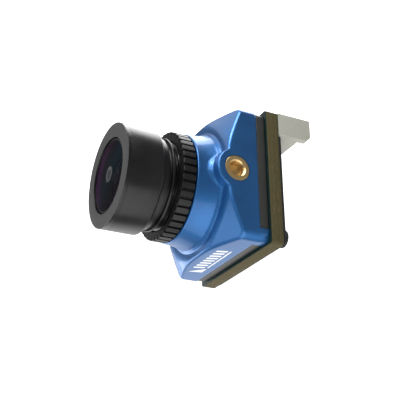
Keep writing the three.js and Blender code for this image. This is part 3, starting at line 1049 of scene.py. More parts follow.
@dataclass
class Housing:
    """The lacquered housing: square rear, sloping facets, side bosses, collar and bore."""

    half: float = field(default_factory=lambda: span("housing", 0)[1])
    collar_front: float = field(default_factory=lambda: span("housing", 1)[0])
    boss_y: float = field(default_factory=lambda: sum(span("side_insert_left", 1)) / 2)
    corner: float = 1.2
    brow: float = 5.75
    slope: float = 0.6
    fullness: float = 0.15
    edge: float = 0.33
    boss_radius: float = 2.78
    boss_reach: float = 3.2
    collar_radius: float = 7.45
    root_radius: float = 7.9
    root_back: float = 2.95
    flare: float = 0.62
    brow_blend: float = 0.4
    boss_blend: float = 0.25
    foot_blend: float = 0.1
    root_blend: float = 0.5
    flare_blend: float = 0.12
    bore: float = 6.1
    bore_floor: float = -4.9
    aperture: float = 3.4
    filter_half: float = 4.3
    filter_wall: float = 0.35
    filter_seat: float = -4.15
    ledge: float = -2.2
    room_half: float = 6.2
    pocket_half: float = 7.0
    pocket_corner: float = 1.9
    rebate: float = 0.55
    rebate_front: float = -1.4
    tab_x: float = 2.0
    tab_z: float = 1.55
    tab_step: float = 0.012
    rim_round: float = 0.08
    arc_steps: int = 12
    column_pitch: float = 0.17
    insert_clear: float = 1.8

    def columns(self) -> tuple[np.ndarray, np.ndarray, np.ndarray]:
        """The square outline as inner corner points, outward normals and tab marks.

        A ring of half width h and corner radius c runs through the inner square point times
        (h - c) plus the normal times c, for every column.

        Returns:
            Inner points and normals as n x 2 arrays, and 1 where a corner tab stands.
        """
        run = self.half - self.corner
        count = int(2 * run / self.column_pitch)
        plain = np.linspace(-run, run, count)
        step = self.tab_step
        tab_z, tab_x = self.half - self.tab_z, self.half - self.tab_x
        right = np.unique(np.concatenate([plain, [-tab_z - step, -tab_z + step]]))
        left = np.unique(np.concatenate([plain, [tab_z - step, tab_z + step]]))[::-1]
        top = np.unique(np.concatenate([plain, [-tab_x - step, -tab_x + step]]))[::-1]
        bottom = np.unique(np.concatenate([plain, [tab_x - step, tab_x + step]]))
        arc = np.linspace(0, math.pi / 2, self.arc_steps + 1)[1:-1]
        inner, normal = [], []
        runs = [(right, 0.0), (top, 0.5), (left, 1.0), (bottom, 1.5)]
        for places, turn in runs:
            angle = turn * math.pi
            n = np.round([math.cos(angle), math.sin(angle)], 9)
            along = np.abs(np.array([n[1], n[0]]))
            inner.append(n[None] + along[None] * places[:, None] / run)
            normal.append(np.repeat(n[None], len(places), axis=0))
            turned_arc = arc + angle
            n_arc = np.stack([np.cos(turned_arc), np.sin(turned_arc)], axis=1)
            middle = angle + math.pi / 4
            corner = np.sign([math.cos(middle), math.sin(middle)])
            inner.append(np.repeat(corner[None], len(arc), axis=0))
            normal.append(n_arc)
        inner_all, normal_all = np.vstack(inner), np.vstack(normal)
        outline = inner_all * run + normal_all * self.corner
        x, z = outline[:, 0], outline[:, 1]
        upper = (x < -tab_x) & (z > tab_z)
        lower = (x > tab_x) & (z < -tab_z)
        return inner_all, normal_all, (upper | lower).astype(float)

    def boss(self, x: np.ndarray, z: np.ndarray) -> np.ndarray:
        """The front half of a cylinder across the camera, at each side of it.

        Args:
            x: across, in millimetres.
            z: up, in millimetres.

        Returns:
            The cylinder's station at each point, and 0 where it isn't.
        """
        across = np.maximum(self.boss_radius**2 - z**2, 0)
        front = self.boss_y - np.sqrt(across)
        return np.where((np.abs(x) > self.half - self.boss_reach) & (across > 0), front, 0.0)

    def front(self, x: np.ndarray, z: np.ndarray) -> np.ndarray:
        """The station of the front surface over the square, without the collar wall.

        The surface falls away from the axis as a cone, a little fuller along the faces than
        across the corners; a flat brow cuts the cone off; each boss is the front half of a
        cylinder across the camera; a steeper cone foots the collar.

        Args:
            x: across, in millimetres.
            z: up, in millimetres.

        Returns:
            The y of the surface at each point.
        """
        radius = np.hypot(x, z)
        fuller = self.fullness * (1 - corner_share(x, z))
        facet = -self.brow + self.slope * (radius - self.half) - fuller
        body = blended_max(facet, np.full_like(facet, -self.brow), self.brow_blend)
        body = blended_min(body, self.boss(x, z), self.boss_blend)
        foot = self.root_station(z * self.root_radius / radius, x) + (radius - self.root_radius)
        return blended_min(body, foot, self.foot_blend)

    def root_station(self, z: np.ndarray, x: np.ndarray) -> np.ndarray:
        """The station of the collar's widest ring, which steps forward over each boss."""
        root = np.full_like(z, self.collar_front + self.root_back)
        return blended_min(root, self.boss(np.sign(x) * self.root_radius, z), self.root_blend)

    def collar(self, x: np.ndarray, z: np.ndarray) -> list[tuple]:
        """Rings of the collar from its widest ring forwards and over its rim into the bore.

        The wall widens slowly towards the rear, and within a short way of the widest ring it
        flares to meet it, so that it also flares round the bosses.

        Args:
            x: across, for each column.
            z: up, for each column.

        Returns:
            (radius, station) of each ring, as numbers or arrays.
        """
        front = self.collar_front
        angle = np.arctan2(z, x)
        root = self.root_station(self.root_radius * np.sin(angle), np.cos(angle))
        widen = self.root_radius - self.collar_radius
        rings = []
        for share in np.linspace(0, 1, 40) ** 1.2:
            y = root + (front + 0.12 - root) * share
            slow = self.collar_radius + widen * ((y - front) / self.root_back) ** 2
            flared = self.root_radius - self.flare * (root - y)
            wall = blended_max(np.minimum(slow, self.root_radius), flared, self.flare_blend)
            rings.append((np.minimum(wall, self.root_radius), y))
        inner = self.collar_radius
        rings += [(inner - 0.03, front + 0.05), (inner - 0.1, front + 0.01), (inner - 0.18, front)]
        rings += [(self.bore + 0.3, front), (self.bore + 0.2, front + 0.03), (self.bore, front + 0.25)]
        return rings

    def rows(self) -> np.ndarray:
        """All rings of the housing from the rear rim, over the front and back through the bore.

        Returns:
            rows x columns x 3 points that close both ways.
        """
        inner, normal, tab = self.columns()
        run = self.half - self.corner
        bare = (1 - tab)[:, None]  # 1 where the rebate is cut, 0 at the corner tabs
        base = inner * run + normal * self.corner
        direction = base / np.linalg.norm(base, axis=1, keepdims=True)
        rings: list[np.ndarray] = []

        def level(flat: np.ndarray, y: Union[float, np.ndarray]) -> None:
            """Adds a ring of points in x and z at station y, one number or one for each column."""
            rings.append(np.stack([flat[:, 0], np.broadcast_to(y, len(flat)), flat[:, 1]], axis=1))

        def ring(inset: np.ndarray, y: Union[float, np.ndarray]) -> None:
            """Adds a ring of the outline moved inwards by inset."""
            level(inner * run + normal * (self.corner - inset), y)

        def square(half: float, corner: float, y: float) -> None:
            """Adds an inner square ring with rounded corners."""
            level(inner * (half - corner) + normal * corner, y)

        def circle(radius: Union[float, np.ndarray], y: Union[float, np.ndarray]) -> None:
            """Adds a round ring."""
            level(direction * np.reshape(radius, (-1, 1)), y)

        def over(flat: np.ndarray, lift: float = 0.0) -> None:
            """Adds a ring of points in x and z on the front surface, or lift behind it."""
            level(flat, self.front(flat[:, 0], flat[:, 1]) + lift)

        square(self.pocket_half, self.pocket_corner, 0.0)
        deep = self.rebate * bare
        ring(deep + 0.1, 0.0)
        ring(deep + 0.03, -0.02)
        ring(deep, -self.rim_round)
        ring(deep, self.rebate_front + 0.02)
        ring(deep * 0.98, self.rebate_front)
        ring(0.07 * bare, self.rebate_front)
        ring(0.02 * bare, self.rebate_front - 0.02)
        start = self.rebate_front - self.rim_round
        ring(np.zeros_like(bare), start)
        edge_y = self.front(base[:, 0], base[:, 1])
        for share in np.linspace(0, 1, 15)[1:]:
            ring(np.zeros_like(bare), start + (edge_y + self.edge - start) * share)
        for turn in np.linspace(0, math.pi / 2, 6)[1:]:
            inset = self.edge * (1 - math.cos(turn))
            over(inner * run + normal * (self.corner - inset), self.edge * (1 - math.sin(turn)))
        outer = inner * run + normal * (self.corner - self.edge)
        root = direction * (self.root_radius + 0.02)
        for share in np.linspace(0, 1, 70)[1:]:
            over(outer + (root - outer) * share)
        for radius, y in self.collar(direction[:, 0], direction[:, 1]):
            circle(radius, y)
        for y in np.linspace(self.collar_front + 0.5, self.bore_floor, 12):
            circle(self.bore, y)
        circle(self.aperture, self.bore_floor)
        filter_front = self.bore_floor + self.filter_wall
        circle(self.aperture, filter_front)
        square(self.filter_half, 0.3, filter_front)
        square(self.filter_half, 0.3, self.filter_seat)
        square(self.room_half, self.corner, self.filter_seat)
        square(self.room_half, self.corner, self.ledge)
        square(self.pocket_half, self.pocket_corner, self.ledge)
        return np.stack(rings)

    def cutters(self) -> list[bpy.types.Object]:
        """Round cutters for the two insert pockets.

        Returns:
            The cutter of each side.
        """
        inner, outer = span("side_insert_right", 0)[0] - 0.1, self.half + 1.0
        r = self.insert_clear
        profile = np.array([[0.0, inner], [r, inner], [r, outer], [0.0, outer]])
        plug = pointed_form(revolved(profile, circle_angles(96)))
        made = []
        for side in Side:
            form = plug.swapped((1, 0, 2), (side.value, 1, 1)).moved(y=self.boss_y)
            made.append(build(f"pocket_cutter_{side.name.lower()}", form))
        return made

    def make(self, finishes: Finishes) -> None:
        """Builds the housing with its insert pockets cut.

        Args:
            finishes: the camera's finishes.
        """
        piece = build("housing_shell", tube_form(self.rows()))
        carve(piece, self.cutters(), 40.0)
        place(piece, Body.CAMERA, finishes.lacquer, "blue_paint", "housing")


@dataclass
class SideInserts:
    """The two blind brass inserts: a knurled bush with a chamfered, threaded hole."""

    radius: float = field(default_factory=lambda: -span("side_insert_left", 2)[0])
    y: float = field(default_factory=lambda: sum(span("side_insert_left", 1)) / 2)
    hole: float = 1.0
    mouth: float = 1.2
    depth: float = 1.15
    thread_pitch: float = 0.4
    thread_depth: float = 0.07
    knurls: int = 36
    knurl_depth: float = 0.06

    def form(self) -> Form:
        """The bush as rings of radius and station, threaded inside and knurled outside.

        The hole's wall sways in and out by the thread's depth as the sine of the turns made
        along the hole, so the crests run round as a helix.

        Returns:
            The bush, about the y axis.
        """
        inner, face = span("side_insert_right", 0)
        a = circle_angles(144)
        outer = self.radius - 0.01
        knurled = outer - self.knurl_depth * (0.5 + 0.5 * np.cos(self.knurls * a))
        edge = face - 0.1
        rows: list[tuple] = [(0.0, inner), (outer - 0.15, inner), (knurled, inner + 0.1)]
        rows += [(knurled, edge - 0.35), (outer, edge - 0.3), (outer, face - 0.06)]
        rows += [(outer - 0.02, face - 0.02), (outer - 0.06, face)]
        rows += [(self.mouth + 0.03, face), (self.mouth, face - 0.015)]
        rows += [(self.hole + 0.02, face - 0.2)]
        bottom = face - self.depth
        for x in np.linspace(face - 0.24, bottom + 0.1, 40):
            turns = x / self.thread_pitch - a / (2 * math.pi)
            rows.append((self.hole + self.thread_depth * (0.5 + 0.5 * np.sin(turns * 2 * math.pi)), x))
        rows += [(self.hole * 0.97, bottom), (self.hole * 0.5, bottom - 0.06), (0.0, bottom - 0.1)]
        return pointed_form(np.stack([circle_row(r, x, a) for r, x in rows]))

    def make(self, finishes: Finishes) -> None:
        """Builds both inserts.

        Args:
            finishes: the camera's finishes.
        """
        bush = self.form()
        for side in Side:
            form = bush.swapped((1, 0, 2), (side.value, 1, 1)).moved(y=self.y)
            name = side.name.lower()
            piece = build(f"threaded_insert_{name}", form, 35.0)
            place(piece, Body.CAMERA, finishes.brass, "brass", f"side_insert_{name}")


@dataclass
class RimSeals:
    """Two rubber bands in the housing's rear edge, each round one corner."""

    corner: float = 1.2
    rounding: float = 0.09
    inner: float = 8.75

    def form(self) -> Form:
        """The left band: a rounded section carried down the -x side, round the corner, along -z.

        Returns:
            The band, closed at its two ends.
        """
        (left, end_x), (low, end_z) = span("rim_seal_left", 0), span("rim_seal_left", 2)
        front, rear = span("rim_seal_left", 1)
        half = -left
        radius = self.corner - (span("housing", 0)[1] - half)
        run = half - radius
        down = np.linspace(end_z, -run, 60)
        along = np.linspace(-run, end_x, 60)
        turn = np.linspace(math.pi, 1.5 * math.pi, 14)[1:-1]
        side = np.stack([np.full_like(down, -run), down], axis=1)
        base = np.stack([along, np.full_like(along, -run)], axis=1)
        corner = np.full((len(turn), 2), -run)
        points = np.vstack([side, corner, base])
        normal = np.vstack(
            [
                np.tile([-1.0, 0.0], (len(down), 1)),
                np.stack([np.cos(turn), np.sin(turn)], axis=1),
                np.tile([0.0, -1.0], (len(along), 1)),
            ]
        )
        depth = half - self.inner
        spots = [(radius - depth, front), (radius, front), (radius, rear), (radius - depth, rear)]
        section = rounded_corners([(o, y, self.rounding) for o, y in spots], 4)
        flat = points[:, None, :] + normal[:, None, :] * section[None, :, :1]
        y = np.broadcast_to(section[None, :, 1], flat.shape[:2])
        return capped_form(np.stack([flat[..., 0], y, flat[..., 1]], axis=-1))

    def make(self, finishes: Finishes) -> None:
        """Builds both bands; the right one is the left one turned half round the lens axis.

        Args:
            finishes: the camera's finishes.
        """
        left = self.form()
        for side in Side:
            sign = -side.value
            form = left.swapped((0, 1, 2), (sign, 1, sign))
            name = side.name.lower()
            piece = build(f"rubber_band_{name}", form, 40.0)
            place(piece, Body.CAMERA, finishes.rubber, "black_rubber", f"rim_seal_{name}")


@dataclass
class Mark:
    """A plain printed mark on the top face: a wedge and a row of equal slanted bars on a rule."""

    top: float = field(default_factory=lambda: span("housing", 2)[1])
    thick: float = 0.012
    front: float = -4.45
    rear: float = -3.0
    slant: float = 0.45
    bars: int = 8
    width: float = 0.52
    gap: float = 0.4
    start: float = 4.6
    wedge: float = 1.5
    rule: float = 0.22
    rule_gap: float = 0.28

    def plate(self, outline: Sequence[tuple]) -> Form:
        """A thin printed patch with rounded corners.

        Args:
            outline: its corners in x and y.

        Returns:
            The patch, a hair into the lacquer and a little above it.
        """
        ring = rounded_corners([(x, y, 0.07) for x, y in outline], 3)
        height = np.array([self.top - 0.01, self.top + self.thick])
        flat = np.broadcast_to(ring[None], (2, *ring.shape))
        z = np.broadcast_to(height[:, None], flat.shape[:2])
        return capped_form(np.stack([flat[..., 0], flat[..., 1], z], axis=-1))

    def make(self, finishes: Finishes) -> None:
        """Builds the mark as one piece.

        Args:
            finishes: the camera's finishes.
        """
        lean = self.slant
        foot = self.rear + self.rule_gap
        base = foot + self.rule
        tip = self.start - self.wedge
        whole = self.plate([(self.start, base), (tip, base), (self.start + lean, self.front)])
        x = tip - 0.1
        for _ in range(self.bars):
            far = x - self.width
            bar = [(x, self.rear), (far, self.rear), (far + lean, self.front), (x + lean, self.front)]
            whole = whole.joined(self.plate(bar))
            x = far - self.gap
        end = x + self.gap
        rule = [(tip - 0.35, foot), (end, foot), (end, base), (tip - 0.35, base)]
        whole = whole.joined(self.plate(rule))
        place(build("printed_mark", whole, 30.0), Body.CAMERA, finishes.ink, "header_plastic")


# ------------------------------------------------------------------ lens


@dataclass
class LockRing:
    """The knurled ring that locks the lens: square ribs with rounded ends."""

    ribs: int = 42
    depth: float = 0.42
    groove_share: float = 0.26
    end_share: float = 0.34
    bore: float = 6.1
    bevel: float = 0.06
    steps: int = 18

    def make(self, finishes: Finishes) -> None:
        """Builds the ring.

        Each ring of points has the radius of the closed profile. On the ribbed outer wall the
        groove's depth comes off it, where a groove is a smooth dip once every rib. The grooves
        open up towards both faces, so that the ribs end in narrow teeth.

        Args:
            finishes: the camera's finishes.
        """
        front, rear = span("lock_ring", 1)
        outer = span("lock_ring", 0)[1]
        angles = circle_angles(self.ribs * self.steps)
        phase = np.abs((angles * self.ribs / (2 * math.pi)) % 1 - 0.5) * 2
        b = self.bevel
        near = (b, 0.15, 0.2)
        stations = [front + d for d in near]
        stations += list(np.linspace(front + 0.3, rear - 0.3, 5))
        stations += [rear - d for d in reversed(near)]
        ribbed = [(outer - b, front), (outer - b / 2, front + b / 2)]
        ribbed += [(outer, y) for y in stations]
        ribbed += [(outer - b / 2, rear - b / 2), (outer - b, rear)]
        rows = [(self.bore, front + b), (self.bore + b, front), (outer - 0.5, front), (outer - 0.42, front)]
        for radius, y in ribbed:
            near_end = 1 - smooth_step(min(y - front, rear - y), 0.05, 0.22)
            width = self.groove_share + (self.end_share - self.groove_share) * near_end
            dip = smooth_step(phase, 1 - width - 0.07, 1 - width + 0.07)
            rows.append((np.minimum(radius, outer - self.depth * dip), y))
        rows += [(outer - 0.5, rear), (self.bore + b, rear), (self.bore, rear - b)]
        grid = [circle_row(radius, y, angles) for radius, y in rows]
        piece = build("knurled_lock_ring", tube_form(np.stack(grid)), 32.0)
        place(piece, Body.RING, finishes.ring, "black_anodised", "lock_ring")


@dataclass
class Barrel:
    """The lens barrel: a head, a neck with a groove and a flange, and a threaded tail."""

    head: float = 7.0
    skirt: float = 6.6
    skirt_depth: float = 0.95
    head_rear: float = -13.3
    head_round: float = 0.7
    neck: float = 6.2
    groove_front: float = -12.4
    groove: float = 5.75
    flange_front: float = -11.95
    flange_rear: float = -11.65
    flange: float = 6.3
    thread: float = 6.0
    pitch: float = 0.5
    thread_depth: float = 0.27
    root_depth: float = 0.3
    front_bore: float = 5.95
    rear_bore: float = 4.5
    lip: float = 3.9
    seam: float = 0.045
    seat: float = 0.05
    steps: int = 192

    def outside(self, front: float) -> np.ndarray:
        """The outside from the front edge to the thread.

        Args:
            front: station of the front edge.

        Returns:
            n x 2 array of radius and station.
        """
        corners = [
            (self.head, front, 0.01),
            (self.head, self.head_rear, self.head_round),
            (self.neck, self.head_rear, 0.12),
            (self.neck, self.groove_front, 0.1),
            (self.groove, self.groove_front, 0.06),
            (self.groove, self.flange_front, 0.06),
            (self.flange, self.flange_front, 0.07),
            (self.flange, self.flange_rear, 0.07),
        ]
        root = self.thread - self.root_depth
        closing = [(root, self.flange_rear, 0), (root, front, 0)]
        outline = rounded_corners(corners + closing, 8)
        return outline[:-2]

    def make(self, finishes: Finishes) -> None:
        """Builds the barrel.

        Along the tail the radius rises and falls with the turns made, y over the pitch less the
        angle over a full turn, so the crests run round as a helix.

        Args:
            finishes: the camera's finishes.
        """
        front, rear = span("lens_barrel", 1)
        front -= self.seam
        a = circle_angles(self.steps)
        rows = [tuple(spot) for spot in self.outside(front)]
        start, end = self.flange_rear + 0.04, rear - 0.25
        for y in np.arange(start, end, self.pitch / 9):
            turns = (y / self.pitch - a / (2 * math.pi)) % 1
            ridge = smooth_step(np.abs(turns - 0.5) * 2, 0.15, 0.85)
            rows.append((self.thread - self.thread_depth * ridge, y))
        lip_front, lip_rear = self.lip_stations()
        shoulder = front + self.skirt_depth
        rows += [(self.thread - self.root_depth, rear), (self.rear_bore, rear)]
        rows += [(self.rear_bore, lip_rear), (self.lip, lip_rear), (self.lip, lip_front)]
        rows += [(self.front_bore, lip_front), (self.front_bore, shoulder)]
        rows += [(self.skirt, shoulder), (self.skirt, front + 0.03)]
        grid = [circle_row(r, y, a) for r, y in rows]
        piece = build("threaded_barrel", tube_form(np.stack(grid)), 30.0)
        place(piece, Body.BARREL, finishes.anodised, "black_anodised", "lens_barrel")

    def lip_stations(self) -> tuple[float, float]:
        """Front and rear of the lip between the front glass and the inner stack."""
        return span("front_element", 1)[1] + self.seat, span("second_element", 1)[0] - self.seat


@dataclass
class Bezel:
    """The flat ring that holds the front glass."""

    opening: float = 5.09
    spigot: float = 6.5
    spigot_wall: float = 0.45

    def make(self, finishes: Finishes) -> None:
        """Builds the ring: a flat face with broken edges, and a spigot behind it.

        Args:
            finishes: the camera's finishes.
        """
        front, rear = span("front_bezel", 1)
        outer = span("front_bezel", 0)[1]
        shelf = span("lens_barrel", 1)[0] - 0.05
        inner = self.spigot - self.spigot_wall
        corners = [
            (self.opening + 0.02, front, 0.03),
            (outer, front, 0.03),
            (outer, shelf, 0.01),
            (self.spigot, shelf, 0.02),
            (self.spigot, rear, 0.04),
            (inner, rear, 0.04),
            (inner, shelf, 0.02),
            (self.opening, shelf, 0.03),
            (self.opening, front + 0.25, 0.02),
        ]
        piece = build("front_bezel_ring", turned(corners, 192), 30.0)
        place(piece, Body.BARREL, finishes.bezel, "bezel_grey", "front_bezel")


@dataclass
class FrontGlass:
    """The front element: a nearly flat face on a step, with a ground rim under the bezel."""

    clear: float = 5.0
    curvature: float = 70.0
    rear_clear: float = 4.2
    rear_curvature: float = 6.0
    bevel: float = 0.05
    rim_front: float = field(default_factory=lambda: span("front_seal", 1)[1] + 0.05)

    @staticmethod
    def dome(apex: float, curvature: float, reach: float, steps: int) -> np.ndarray:
        """Radius and station of a spherical face from its apex out to reach."""
        r = np.linspace(0, reach, steps)
        return np.stack([r, apex + curvature - np.sqrt(curvature**2 - r**2)], axis=1)

    def make(self, finishes: Finishes) -> None:
        """Builds the element as one turned solid.

        Args:
            finishes: the camera's finishes.
        """
        front, rear = span("front_element", 1)
        rim = span("front_element", 0)[1]
        b = self.bevel
        face = self.dome(front, self.curvature, self.clear - b, 26)
        depth = self.rear_curvature - math.sqrt(self.rear_curvature**2 - self.rear_clear**2)
        back = self.dome(rear - depth, self.rear_curvature, self.rear_clear, 22)
        step = [(self.clear, face[-1, 1] + b), (self.clear, self.rim_front)]
        side = [(rim - b, self.rim_front), (rim, self.rim_front + b), (rim, rear - b), (rim - b, rear)]
        profile = np.vstack([face, step, side, back[::-1]])
        form = pointed_form(revolved(profile, circle_angles(128)))
        piece = build("front_dome", form, 25.0)
        place(piece, Body.GLASS, finishes.front_glass, "coated_glass", "front_element")


# ------------------------------------------------------------------ rear


@dataclass
class RearStack:
    """The rear board, the black film on it and the two screws that clamp them."""

    corner: float = 0.35
    notch_gap: float = 0.1
    head: float = 1.2
    head_height: float = 0.55
    head_side: float = 0.22
    shank: float = 0.45
    recess: float = 0.26

    def board(self, finishes: Finishes) -> None:
        """Builds the board: a square plate with crisp, slightly broken edges.

        Args:
            finishes: the camera's finishes.
        """
        front, rear = span("rear_board", 1)
        half = span("rear_board", 0)[1]
        outline = box_outline((-half, -half), (half, half), self.corner)
        piece = build("rear_circuit_board", extruded(outline, front, rear, 0.04, 2), 40.0)
        place(piece, Body.CAMERA, finishes.board, "board_laminate", "rear_board")

    def film(self, finishes: Finishes) -> None:
        """Builds the film: the board's outline less a notch for the header.

        Args:
            finishes: the camera's finishes.
        """
        front, rear = span("rear_film", 1)
        (left, right), (low, high) = span("rear_film", 0), span("rear_film", 2)
        notch_x = span("header_shell", 0)[1] + self.notch_gap
        notch_z = span("header_shell", 2)[1] + self.notch_gap
        spots = [(left, notch_z), (notch_x, notch_z), (notch_x, low)]
        spots += [(right, low), (right, high), (left, high)]
        outline = rounded_corners([(x, z, self.corner) for x, z in spots], 5)
        piece = build("rear_black_film", extruded(outline, front, rear, 0.12, 4), 40.0)
        place(piece, Body.CAMERA, finishes.film, "black_film", "rear_film")

    def screw(self, name: str, finishes: Finishes) -> None:
        """Builds a pan-head screw.

        The head's top is a shallow dome; a cross is sunk into it, as deep as its recess where
        the smaller of the two distances from the axes is within the arm, out to the arm's end.

        Args:
            name: the screw's CAD node.
            finishes: the camera's finishes.
        """
        (left, right), (low, high) = span(name, 0), span(name, 2)
        front, top = span(name, 1)
        seat = top - self.head_height
        a = circle_angles(96)
        rows = [(0.0, front), (0.25, front), (self.shank, front + 0.25)]
        rows += [(self.shank, seat), (self.head - 0.06, seat), (self.head, seat + 0.06)]
        rows += [(self.head, seat + 0.2)]
        grid = [circle_row(r, y, a) for r, y in rows]
        crown = self.head_height - self.head_side
        for r in np.linspace(self.head - 0.02, 0.0, 30):
            x, z = r * np.cos(a), r * np.sin(a)
            dome = seat + self.head_side + crown * math.sqrt(1 - (r / self.head) ** 2)
            arm = 1 - smooth_step(np.minimum(np.abs(x), np.abs(z)), 0.12, 0.2)
            reach = 1 - smooth_step(np.full_like(a, r), 0.62, 0.8)
            grid.append(np.stack([x, dome - self.recess * arm * reach, z], axis=-1))
        form = pointed_form(np.stack(grid)).moved(x=(left + right) / 2, z=(low + high) / 2)
        piece = build(f"pan_head_{name}", form, 35.0)
        place(piece, Body.CAMERA, finishes.screw, "screw_steel", name)

    def make(self, finishes: Finishes) -> None:
        """Builds the board, the film and the screws.

        Args:
            finishes: the camera's finishes.
        """
        self.board(finishes)
        self.film(finishes)
        for name in ("rear_screw_upper", "rear_screw_lower"):
            self.screw(name, finishes)


@dataclass
class Header:
    """The open pin header: a moulded shell with a keyed slot, and its six pins."""

    pins: int = 6
    floor: float = 1.0
    wall: float = 0.5
    end_wall: float = 0.95
    slot_drop: float = 1.6
    chamfer: float = 0.6
    rounding: float = 0.07

    @staticmethod
    def prism(name: str, x: Pair, spots: Sequence[Pair], edge: float) -> bpy.types.Object:
        """A solid whose section in y and z is carried along x, with rounded edges.

        Args:
            name: its name.
            x: where it starts and ends.
            spots: (y, z) corners of the section.
            edge: radius of its edges.

        Returns:
            The new object.
        """
        outline = rounded_corners([(y, z, edge) for y, z in spots], 3)
        if signed_area(outline) < 0:
            outline = outline[::-1]
        start, end = x
        form = extruded(outline, start, end, 0.8 * edge, 3).swapped((1, 0, 2))
        return build(name, form, 40.0)

    def shell(self, finishes: Finishes) -> None:
        """Builds the shell and cuts its cavity and its keyed slot.

        Args:
            finishes: the camera's finishes.
        """
        (left, right), (foot, mouth) = span("header_shell", 0), span("header_shell", 1)
        low, high = span("header_shell", 2)
        cut = self.chamfer
        section = [(foot, low), (mouth, low), (mouth, high - cut), (mouth - cut, high), (foot, high)]
        shell = self.prism("pin_header_shell", (left, right), section, self.rounding)
        inner = (left + self.end_wall, right - self.end_wall)
        floor, past = foot + self.floor, mouth + 1.0
        low_in, high_in = low + self.wall, high - self.wall
        cavity = [(floor, low_in), (past, low_in), (past, high_in), (floor, high_in)]
        drop = mouth - self.slot_drop
        middle = (low + high) / 2
        slot = [(drop, middle), (past, middle), (past, high + 1), (drop, high + 1)]
        cutters = [self.prism("cavity", inner, cavity, 0.05), self.prism("slot", inner, slot, 0.05)]
        carve(shell, cutters, 40.0)
        place(shell, Body.CAMERA, finishes.header, "header_plastic", "header_shell")

    def make(self, finishes: Finishes) -> None:
        """Builds the shell and the pins, whose ends are rounded.

        Args:
            finishes: the camera's finishes.
        """
        self.shell(finishes)
        for number in range(1, self.pins + 1):
            node = f"header_pin_{number}"
            (left, right), (low, high) = span(node, 0), span(node, 2)
            foot, tip = span(node, 1)
            outline = box_outline((left, low), (right, high), 0.05, 2)
            pin = extruded(outline, foot, tip, 0.14, 4)
            place(build(f"pin_{number}", pin, 30.0), Body.CAMERA, finishes.tin, "tinned_metal", node)


# ------------------------------------------------------------------ studio


@dataclass(frozen=True)
class SoftLight:
    """A soft rectangular light that faces the camera and isn't seen itself."""

    name: str
    at: Triple
    size: Pair
    power: float

    def make(self, aim: Vector) -> None:
        """Adds the light, with its first side running round the lens axis.

        Args:
            aim: the point that it faces, in metres.
        """
        data = bpy.data.lights.new(self.name, "AREA")
        data.shape = "RECTANGLE"
        data.size, data.size_y = (side * MM for side in self.size)
        data.energy = self.power
        lamp = bpy.data.objects.new(self.name, data)
        spot = (Vector(self.at) + Vector((0, DATUM, 0))) * MM
        back = (spot - aim).normalized()
        across = Vector((0, 1, 0)).cross(back).normalized()
        turn = Matrix((across, back.cross(across), back)).transposed()
        lamp.matrix_world = Matrix.Translation(spot) @ turn.to_4x4()
        lamp.visible_camera = False
        bpy.context.scene.collection.objects.link(lamp)


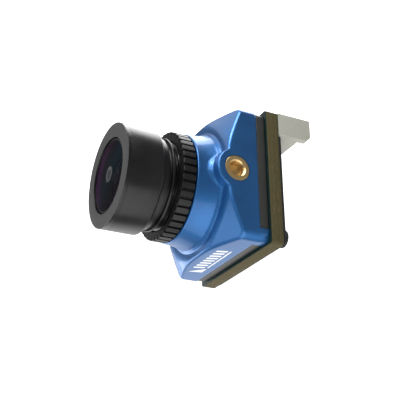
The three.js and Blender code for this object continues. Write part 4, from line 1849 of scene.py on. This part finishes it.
@dataclass
class Studio:
    """The view of the camera, a pale floor and soft lights.

    Places and sizes are in millimetres in the camera's stations, angles in degrees and powers
    in watts. A light's size is round the lens axis and then along it.
    """

    eye: Triple = (-92.85, -52.81, 48.88)
    heading: float = 27.22
    dip: float = 24.72
    roll: float = 179.42
    lens: float = 76.74
    floor_drop: float = 70.0
    floor_reach: float = 3000.0
    floor_glow: float = 0.9
    ambient: float = 0.3
    aim_y: float = -6.0
    lights: tuple[SoftLight, ...] = (
        SoftLight("overhead", (-40, -25, 130), (190, 190), 0.215),
        SoftLight("right_bank", (146, -60, 22), (90, 110), 0.12),
        SoftLight("right_side", (150, 50, -30), (90, 110), 0.03),
        SoftLight("right_upper", (120, 60, 62), (100, 110), 0.045),
        SoftLight("under_strip", (24, 42, -87), (74, 90), 0.12),
        SoftLight("under_panel", (26, -46, -72), (56, 60), 0.016),
        SoftLight("under_left", (-44, -36, -86), (56, 66), 0.1),
        SoftLight("front_low", (-45, -92, -50), (60, 60), 0.04),
        SoftLight("front_fill", (30, -150, 40), (90, 90), 0.05),
        SoftLight("low_left", (-92, -62, -55), (44, 44), 0.022),
        SoftLight("glint", (-56, -48, -76), (26, 30), 0.022),
        SoftLight("rear_fill", (-60, 150, 60), (180, 180), 0.09),
    )

    def camera(self) -> None:
        """Adds the view: rolled on its own axis, then dipped below level, then headed from +x."""
        data = bpy.data.cameras.new("view")
        data.lens = self.lens
        data.sensor_width = 36.0
        data.clip_start = 0.005
        view = bpy.data.objects.new("view", data)
        roll = Matrix.Rotation(math.radians(self.roll), 4, "Z")
        dip = Matrix.Rotation(math.radians(90 - self.dip), 4, "X")
        heading = Matrix.Rotation(math.radians(self.heading - 90), 4, "Z")
        stand = Matrix.Translation((Vector(self.eye) + Vector((0, DATUM, 0))) * MM)
        view.matrix_world = stand @ heading @ dip @ roll
        bpy.context.scene.collection.objects.link(view)
        bpy.context.scene.camera = view

    def floor(self) -> None:
        """Adds the pale floor, well below the camera; it isn't mirrored in the lacquer."""
        mesh = bpy.data.meshes.new("floor")
        reach, low = self.floor_reach * MM, -self.floor_drop * MM
        corners = [(-reach, -reach, low), (reach, -reach, low), (reach, reach, low), (-reach, reach, low)]
        mesh.from_pydata(corners, [], [(0, 1, 2, 3)])
        g = Graph("pale_floor")
        patch = g.noise(0.004, 2.0)
        finish = g.surface(
            Base_Color=g.mix(patch, grey(0.93), grey(0.96)),
            Roughness=0.9,
            Emission_Color=(1.0, 1.0, 1.0),
            Emission_Strength=self.floor_glow,
        )
        mesh.materials.append(finish)
        floor = bpy.data.objects.new("floor", mesh)
        floor.visible_glossy = False
        floor.visible_diffuse = False
        bpy.context.scene.collection.objects.link(floor)

    def surroundings(self) -> None:
        """Adds the dim white surroundings."""
        world = bpy.data.worlds.new("studio")
        world.use_nodes = True
        background = world.node_tree.nodes["Background"]
        background.inputs["Color"].default_value = (1, 1, 1, 1)
        background.inputs["Strength"].default_value = self.ambient
        bpy.context.scene.world = world
        bpy.context.scene.view_settings.view_transform = "Standard"

    def make(self) -> None:
        """Builds the studio."""
        self.camera()
        self.floor()
        self.surroundings()
        aim = Vector((0, DATUM + self.aim_y, 0)) * MM
        for light in self.lights:
            light.make(aim)


# ------------------------------------------------------------------ main


def dress_inside(finishes: Finishes) -> None:
    """Gives every carried-over CAD node its finish.

    Args:
        finishes: the camera's finishes.
    """
    inner_glass = ("second_element", "third_element", "fourth_element", "fifth_element")
    dressings = {
        finishes.inner_glass: (*inner_glass, "sensor_glass"),
        finishes.filter_glass: ("infrared_filter",),
        finishes.anodised: ("front_spacer", "aperture_stop", "rear_spacer", "rear_retainer"),
        finishes.rubber: ("front_seal", "sensor_gasket"),
        finishes.chip: ("image_sensor", "processor_chip", "regulator_chip", "power_inductor"),
        finishes.sensor_board: ("sensor_board",),
        finishes.header: ("board_link_plug", "board_link_socket"),
        finishes.tin: ("crystal",),
    }
    for material, nodes in dressings.items():
        for node in nodes:
            dress(node, material)


def main() -> None:
    """Builds the studio and every piece of the camera."""
    logging.basicConfig(level=logging.INFO, format="%(name)s: %(message)s")
    Studio().make()
    finishes = Finishes.make()
    parts = (Housing, SideInserts, RimSeals, Mark, LockRing, Barrel, Bezel, FrontGlass, RearStack, Header)
    for part in parts:
        part().make(finishes)
    dress_inside(finishes)


if __name__ == "__main__":
    main()
